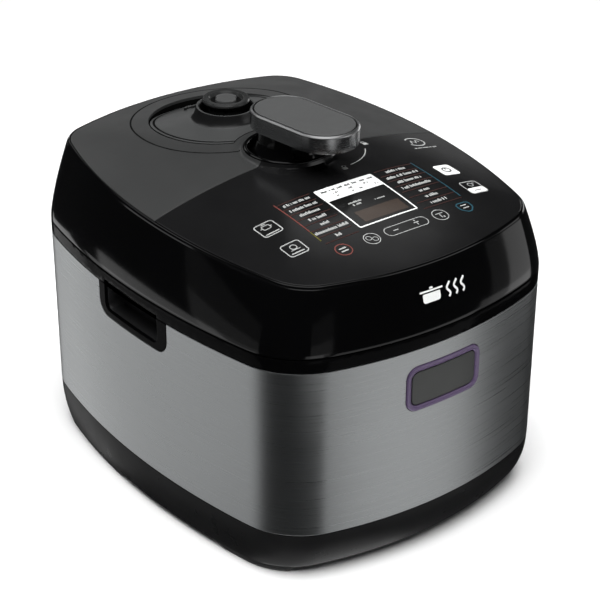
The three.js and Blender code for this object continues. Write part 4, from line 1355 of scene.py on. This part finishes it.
symbols = [
    band_loop(rectangle(-87.8, -81.2, -85.6, -80.8, 1.2, 4), 0.7), bar(-86.6, -82.4, -79.0, 0.7),
    bar(-89.6, -87.9, -83.2, 0.7), bar(-81.1, -79.4, -83.2, 0.7),
    round_band(-84.4, -115.4, 2.6, 0.7, 24), bar(-88.6, -80.4, -118.6, 0.7),
    round_band(-30.8, -135.6, 2.2, 0.5, 20), round_band(-26.6, -138.4, 2.2, 0.5, 20),
    bar(34.0, 41.4, -135.0, 0.7), bar(36.9, 37.7, -138.2, 4.2), bar(38.6, 40.0, -139.8, 1.6),
    stroke(arc_line(104.3, -31, 8.4, 7.4, -150, 141, 6), 1.3),
    stroke([(99.6, -33.5), (101.8, -28.2), (104.2, -33.2), (106.6, -28.2), (109.0, -31.0)], 1.3),
]
emblem_words = ((94.2, 96.6), (97.4, 101.8), (102.6, 108.4), (109.2, 112.0), (112.8, 117.0))
symbols += [bar(x0, x1, -42.9, 1.2) for x0, x1 in emblem_words]
symbols.append(stroke(arc_line(20, -7, 40.4, 40.4, -84, -30, 3), 0.8))
for x, y, lean in ((16.4, -48.2, 1.2), (60.4, -19.8, -0.6)):
    symbols.append([rectangle(x - 2.2, x + 2.2, y - 3.2, y + 0.2, 0.5, 3)])
    symbols.append(stroke(arc_line(x + lean, y + 0.6, 1.5, 2.0, 0, 181, 20), 0.7))
printed("print_symbols", symbols, grey_ink)
RIGHT_KEY_X = 90.2
power_key = [rectangle(RIGHT_KEY_X - KEY, RIGHT_KEY_X + KEY, -93.2, -76.4, 2.6, 6)]
half_key = [rectangle(RIGHT_KEY_X - KEY + 0.2, RIGHT_KEY_X + KEY - 0.2, -124.6, -117.2, 2.2, 6)]
printed("print_white_keys", [power_key, half_key], white_ink)
power_mark = [round_band(RIGHT_KEY_X, -84.8, 3.5, 1.3, 30), bar(89.5, 90.9, -82.4, 3.6)]
printed("print_on_white", [*power_mark, bar(86.6, 93.8, -121.2, 0.9)], black_ink, lift=0.12)
half_symbol = [round_band(RIGHT_KEY_X, -112.4, 2.4, 0.6, 24), bar(92.6, 95.0, -110.8, 0.6)]
printed("print_half_symbol", half_symbol, grey_ink)

# ---- display ----

glass = [rectangle(-27.6, 27.6, -122.4, -66.8, 0.9, 4)]
printed(
    "display_glass", [glass], screen_black, thickness=0.12,
    stands_for=("display_window",))
border = band_loop(rectangle(-27.4, 27.4, -122.2, -67.0, 0.9, 4), 1.15)
printed("display_border", [border], white_ink, lift=0.13)
printed("display_header", [[rectangle(-27.2, 27.2, -83.6, -67.2, 0.6, 3)]], white_ink, lift=0.1)
printed("display_window_tint", [[rectangle(-19.4, 22.6, -118.6, -104.6, 0.5, 3)]], window, lift=0.13)
ticks = []
for column in range(7):
    x = -23.8 + 7.4 * column
    ticks += words(x, x + 5.8, -71.2, 2.3, rng)
    if column % 2:
        ticks += words(x + 0.4, x + 5.4, -75.6, 2.0, rng)
    if column in (1, 3, 4, 6):
        ticks += words(x + 1.0, x + 4.4, -79.8, 2.0, rng)
printed("display_header_marks", ticks, black_ink, lift=0.22)
readout = words(-15.6, -3.0, -93.4, 1.9, rng)
readout += words(-13.6, -5.0, -96.8, 1.9, rng)
readout += words(6.4, 16.2, -97.8, 1.7, rng)
printed("display_readout", readout, grey_ink, lift=0.13)

# ---- mark on the front of the lid ----


def band_front(x, z):
    """How far back the front of the lid band lies at a place on it."""
    low = SEAM_Z + GAP

    def front(shape):
        radius = shape["front"]
        return shape["y"] - shape["half_depth"] + radius - math.sqrt(radius**2 - x**2)

    y = front(BODY)
    for _ in range(8):
        share = (z - low) / (crease_height(y) - low)
        y = front(BODY) + (front(CREASE) - front(BODY)) * share**BAND_POWER
    return y


class FrontSurface:
    def __init__(self, proud):
        self.proud = proud

    def __call__(self, x, z, depth=0.0):
        return (x, band_front(x, z) - self.proud + depth, z)

    def normal(self, x, z):
        slope_x = (band_front(x + 0.1, z) - band_front(x - 0.1, z)) / 0.2
        slope_z = (band_front(x, z + 0.1) - band_front(x, z - 0.1)) / 0.2
        return tuple(Vector((slope_x, -1, slope_z)).normalized())


def front_mark():
    """A plain pictogram: a covered pot with three wisps beside it."""
    pot = rounded([(-20, 221.0, 0.8), (-20, 214.2, 2.2), (-4, 214.2, 2.2), (-4, 221.0, 0.8)], steps=5)
    shapes = [[pot], bar(-22.6, -1.4, 222.8, 1.2, 0.5), bar(-13.6, -10.4, 224.6, 1.2, 0.5)]
    for x in (4, 11, 18):
        shapes.append(stroke([(x + 1.5 * math.sin(0.75 * k), 213.6 + 1.1 * k) for k in range(11)], 1.7))
    return raised(shapes, FrontSurface(0.16), 0.3, 3, 4)


piece("front_mark", front_mark(), white_ink, "lid", angle=30)

# ---- rear: hinge and condensation cup ----


hinge_parts = (
    ("hinge_barrel_skin", "lid", -HINGE["half_barrel"], HINGE["half_barrel"]),
    ("hinge_ear_left", "body", -HINGE["half_ear"], -HINGE["half_barrel"] - 1),
    ("hinge_ear_right", "body", HINGE["half_barrel"] + 1, HINGE["half_ear"]),
)
for name, rides_on, x0, x1 in hinge_parts:
    form = hinge_bar(HINGE["barrel"], x0, x1, bore=HINGE["bore"])
    piece(name, form, gloss, rides_on, angle=40)


def rear_surface(proud):
    """The rear of the wall, raised a little. Its u runs from left to right as seen from behind."""
    def surface(u, v, depth=0.0):
        return body_wall(body_wall.rear(-u), v, depth - proud)

    def normal(u, v):
        return body_wall.normal(body_wall.rear(-u), v)

    surface.normal = normal
    return surface


def rear_rectangle(half, low, high, radius):
    return divided(rectangle(-half, half, low, high, radius, 6), 5)


def dock_rectangle(inset, radius):
    return rear_rectangle(DOCK["half_width"] - inset, DOCK["low"] + inset, DOCK["high"] - inset, radius)


dock_form = cover(Form(), [dock_rectangle(0, 6), dock_rectangle(2.9, 4)[::-1]], rear_surface(GAP), 5, 0.5, 6)
piece("condensation_dock_rim", dock_form, satin_black, "body")
cup_loops = [dock_rectangle(3.4, 3.7), rear_rectangle(18, 142, 150, 3.0)[::-1]]
cup_form = cover(Form(), cup_loops, rear_surface(1.3), 5, 0.8, 3.2)
piece("condensation_cup_face", cup_form, satin_black, "drip_cup", angle=40)

# ---- inside the lid and the pot ----

turned_piece(
    "cooking_pot_skin",
    [(0, 41), (96, 41, 6), (106, 51, 8), (106, 182, 2), (109.4, 186.3, 0.8), (114, 186.3, 0.9),
     (114.1, 188.3, 0.9), (104.4, 188.3, 1.2), (104, 52, 9), (95, 44, 6), (0, 44)],
    coating, "body", ("cooking_pot",), count=128)


def four_lugs(inner, outer, first, z0, z1, half_span=19, count=14):
    """Four blocks with soft edges that follow a ring. The first one's middle is at an angle from +X."""
    form = Form()
    section = rounded([(inner, z0, 0.3), (outer, z0, 0.6), (outer, z1, 0.6), (inner, z1, 0.3)], steps=2)
    for number in range(4):
        start = 90 * number + first - half_span
        slices = []
        for i in range(count + 1):
            angle = math.radians(start + 2 * half_span * i / count)
            slices.append([(r * math.cos(angle), r * math.sin(angle), z) for r, z in section])
        form.closed(slices)
    return form


turned_piece(
    "pressure_vessel_skin",
    [(30, 29), (112.5, 30, 3), (112.5, 171.3), (119, 171.3, 0.4), (119, 173.3, 0.4), (112.6, 173.3),
     (112.5, 182, 0.8), (115, 182, 0.4), (115, 186, 0.5), (110, 186, 0.5), (110, 31.5, 3), (30, 31.5)],
    aluminium, "body", ("pressure_vessel",), count=128)
piece("pressure_vessel_lugs", four_lugs(114.6, 123, 45, 182, 186), aluminium, "body")
turned_piece(
    "locking_ring_skin",
    [(5.4, 199.5), (120, 199.5, 3), (125.5, 195, 3), (125.5, 175.5, 0.5), (128, 175.5, 0.5), (128, 200, 2),
     (126, 202, 1), (5.4, 202)],
    bright_steel, "lock", ("locking_ring",), count=128)
hooks = four_lugs(119.5, 125.6, KNOB["turn"], 175.5, 179.5)
piece("locking_ring_hooks", hooks, bright_steel, "lock")
turned_piece(
    "inner_lid_skin",
    [(5.6, 194.4), (58, 194.4, 3), (66, 195.6, 4), (100, 195.2, 4), (114, 194.4, 0.4), (114, 196.4, 0.4),
     (66, 197.6, 3), (58, 196.6, 2), (5.6, 196.4)],
    lid_aluminium, "lid", ("inner_lid",), count=128)
turned_piece(
    "sealing_gasket_skin",
    [(104, 189.6, 0.8), (109, 188.9, 1), (114, 189.0, 1), (117, 190.4, 0.8), (117, 194, 0.5), (107, 194, 0.5),
     (105.4, 192.4, 0.5), (104, 191.4, 0.4)],
    silicone, "lid", ("sealing_gasket",), count=128)
turned_piece(
    "inner_lid_nut_skin",
    [(5.5, 187), (12.6, 187, 0.8), (15, 189.2, 0.8), (15, 192.4, 0.8), (10.4, 194), (5.5, 194)],
    bright_steel, "lock", ("inner_lid_nut",), count=64)

# ---- carried-over CAD nodes ----

# The CAD nodes that stay, by their new look.
CARRIED_OVER = (
    (satin_black, (
        "bottom_plate", "power_inlet", "condensation_dock", "condensation_cup", "lid_lining", "steam_pipe",
    )),
    (aluminium, ("heat_shield", "heating_plate")),
    (board, ("power_board", "display_module", "control_board")),
    (silicone, ("anti_block_cage",)),
    (bright_steel, (
        "sensor_housing", "sensor_spring", "hinge_shaft", "latch_spring", "sensor_cap", "latch_slider",
        "lid_catch", "lid_frame", "float_valve", "valve_weight", "knob_shaft", "base_screw_front_left",
        "base_screw_front_right", "base_screw_rear_left", "base_screw_rear_right",
    )),
)
for look, names in CARRIED_OVER:
    for name in names:
        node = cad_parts[name]
        node.data.materials.clear()
        node.data.materials.append(look.made)
        soften_edges(node, 0.35)

# ---- floor, lights and camera ----


def floor():
    look = Look("floor", (0.86, 0.86, 0.86), 0.6)
    look.tint(look.noise(3), (0.85, 0.85, 0.85), (0.88, 0.88, 0.88))
    mesh = bpy.data.meshes.new("floor")
    shell = bmesh.new()
    bmesh.ops.create_circle(shell, cap_ends=True, segments=96, radius=6.0)
    shell.to_mesh(mesh)
    shell.free()
    mesh.materials.append(look.made)
    made = in_scene("floor", mesh)
    made.location = (0, 0, -0.0002)
    made.visible_glossy = False
    made.visible_shadow = False


def card(name, place, target, width, height, power):
    """A soft rectangular light that faces a point. Lengths here are metres, and the power is in watts."""
    light = bpy.data.lights.new(name, "AREA")
    light.shape = "RECTANGLE"
    light.size, light.size_y = width, height
    light.energy = power
    made = in_scene(name, light)
    made.location = place
    made.rotation_euler = (Vector(target) - Vector(place)).to_track_quat("-Z", "Y").to_euler()
    made.visible_camera = False
    return made


def around(bearing, distance, height):
    """A place on a circle round the object. The bearing is in degrees anticlockwise from +X."""
    angle = math.radians(bearing)
    return (distance * math.cos(angle), distance * math.sin(angle), height)


# Each card: name, bearing, distance from the axis, height, height it faces, width, height, power.
LIGHTS = (
    ("overhead", 225, 0.45, 2.3, 0.1, 2.3, 2.3, 112),
    ("overhead_gloss", 225, 0.45, 2.31, 0.1, 2.3, 2.3, 18),
    ("left_wall", 144, 1.7, -0.86, 0.1, 2.02, 0.7, 2.45),
    ("left_rear", 104, 1.7, -0.8, 0.1, 0.5, 0.9, 1.4),
    ("right_front", 295, 1.7, -0.86, 0.1, 1.6, 0.7, 2.55),
    ("band_left_0", 164, 1.7, -0.37, 0.22, 0.92, 0.25, 0.24),
    ("band_front_0", 257, 1.7, -0.37, 0.22, 0.7, 0.25, 0.22),
    ("band_left_1", 164, 1.7, -0.12, 0.22, 0.92, 0.25, 0.15),
    ("band_front_1", 257, 1.7, -0.12, 0.22, 0.7, 0.25, 0.12),
    ("band_left_2", 164, 1.7, 0.13, 0.22, 0.92, 0.25, 0.05),
    ("band_front_2", 257, 1.7, 0.13, 0.22, 0.7, 0.25, 0.04),
    ("right_end", 12, 2.0, 0.3, 0.2, 0.8, 0.6, 4),
    ("band_right_soft", 326, 1.7, -0.05, 0.22, 0.24, 0.8, 0.07),
    ("band_right", 337, 1.7, -0.05, 0.22, 0.42, 0.8, 0.8),
    ("edge_front", 305, 1.8, 1.0, 0.24, 1.3, 0.9, 4),
    ("edge_left", 126, 1.6, 1.65, 0.29, 1.1, 0.7, 2.2),
    ("knob_front", 250, 1.15, -0.2, 0.29, 0.45, 0.18, 0.18),
    ("knob_left", 140, 1.15, -0.2, 0.29, 0.7, 0.18, 0.26),
    ("knob_right", 328, 1.15, -0.2, 0.29, 0.5, 0.18, 0.13),
    ("rear", 56, 2.2, 0.6, 0.25, 1.8, 0.5, 0.85),
    ("rear_left", 84, 2.2, 1.1, 0.25, 0.8, 0.8, 1.2),
    ("rear_high", 42, 2.0, 2.1, 0.25, 0.8, 0.4, 0.7),
)


def lights():
    made = {}
    for name, bearing, distance, height, target_height, wide, high, power in LIGHTS:
        place = around(bearing, distance, height)
        made[name] = card(name, place, (0, 0, target_height), wide, high, power)
    card("under", (-0.05, -0.15, -1.5), (0, 0, 0), 1.6, 1.6, 10)
    under_front = card("under_front", (-0.3, -0.85, -1.3), (0, 0, 0), 1.2, 1.2, 30)
    made["overhead"].visible_glossy = False
    under_front.visible_glossy = False
    made["edge_front"].visible_diffuse = False
    world = bpy.data.worlds.new("studio")
    world.use_nodes = True
    world.node_tree.nodes["Background"].inputs["Color"].default_value = (0.95, 0.97, 1, 1)
    world.node_tree.nodes["Background"].inputs["Strength"].default_value = 0.02
    bpy.context.scene.world = world


def camera():
    view = bpy.data.cameras.new("camera")
    view.sensor_width = 36
    view.lens = 109.5
    view.shift_x, view.shift_y = 0.0193, 0.0376
    view.clip_end = 50
    made = in_scene("camera", view)
    bearing, rise, distance, aim_height = math.radians(-37.58), math.radians(28.75), 1.5025, 0.1119
    level = math.cos(rise)
    back = Vector((math.sin(bearing) * level, -math.cos(bearing) * level, math.sin(rise)))
    made.location = Vector((0, 0, aim_height)) + back * distance
    made.rotation_mode = "QUATERNION"
    made.rotation_quaternion = (-back).to_track_quat("-Z", "Y")
    bpy.context.scene.camera = made


floor()
lights()
camera()
bpy.context.scene.view_settings.view_transform = "Standard"
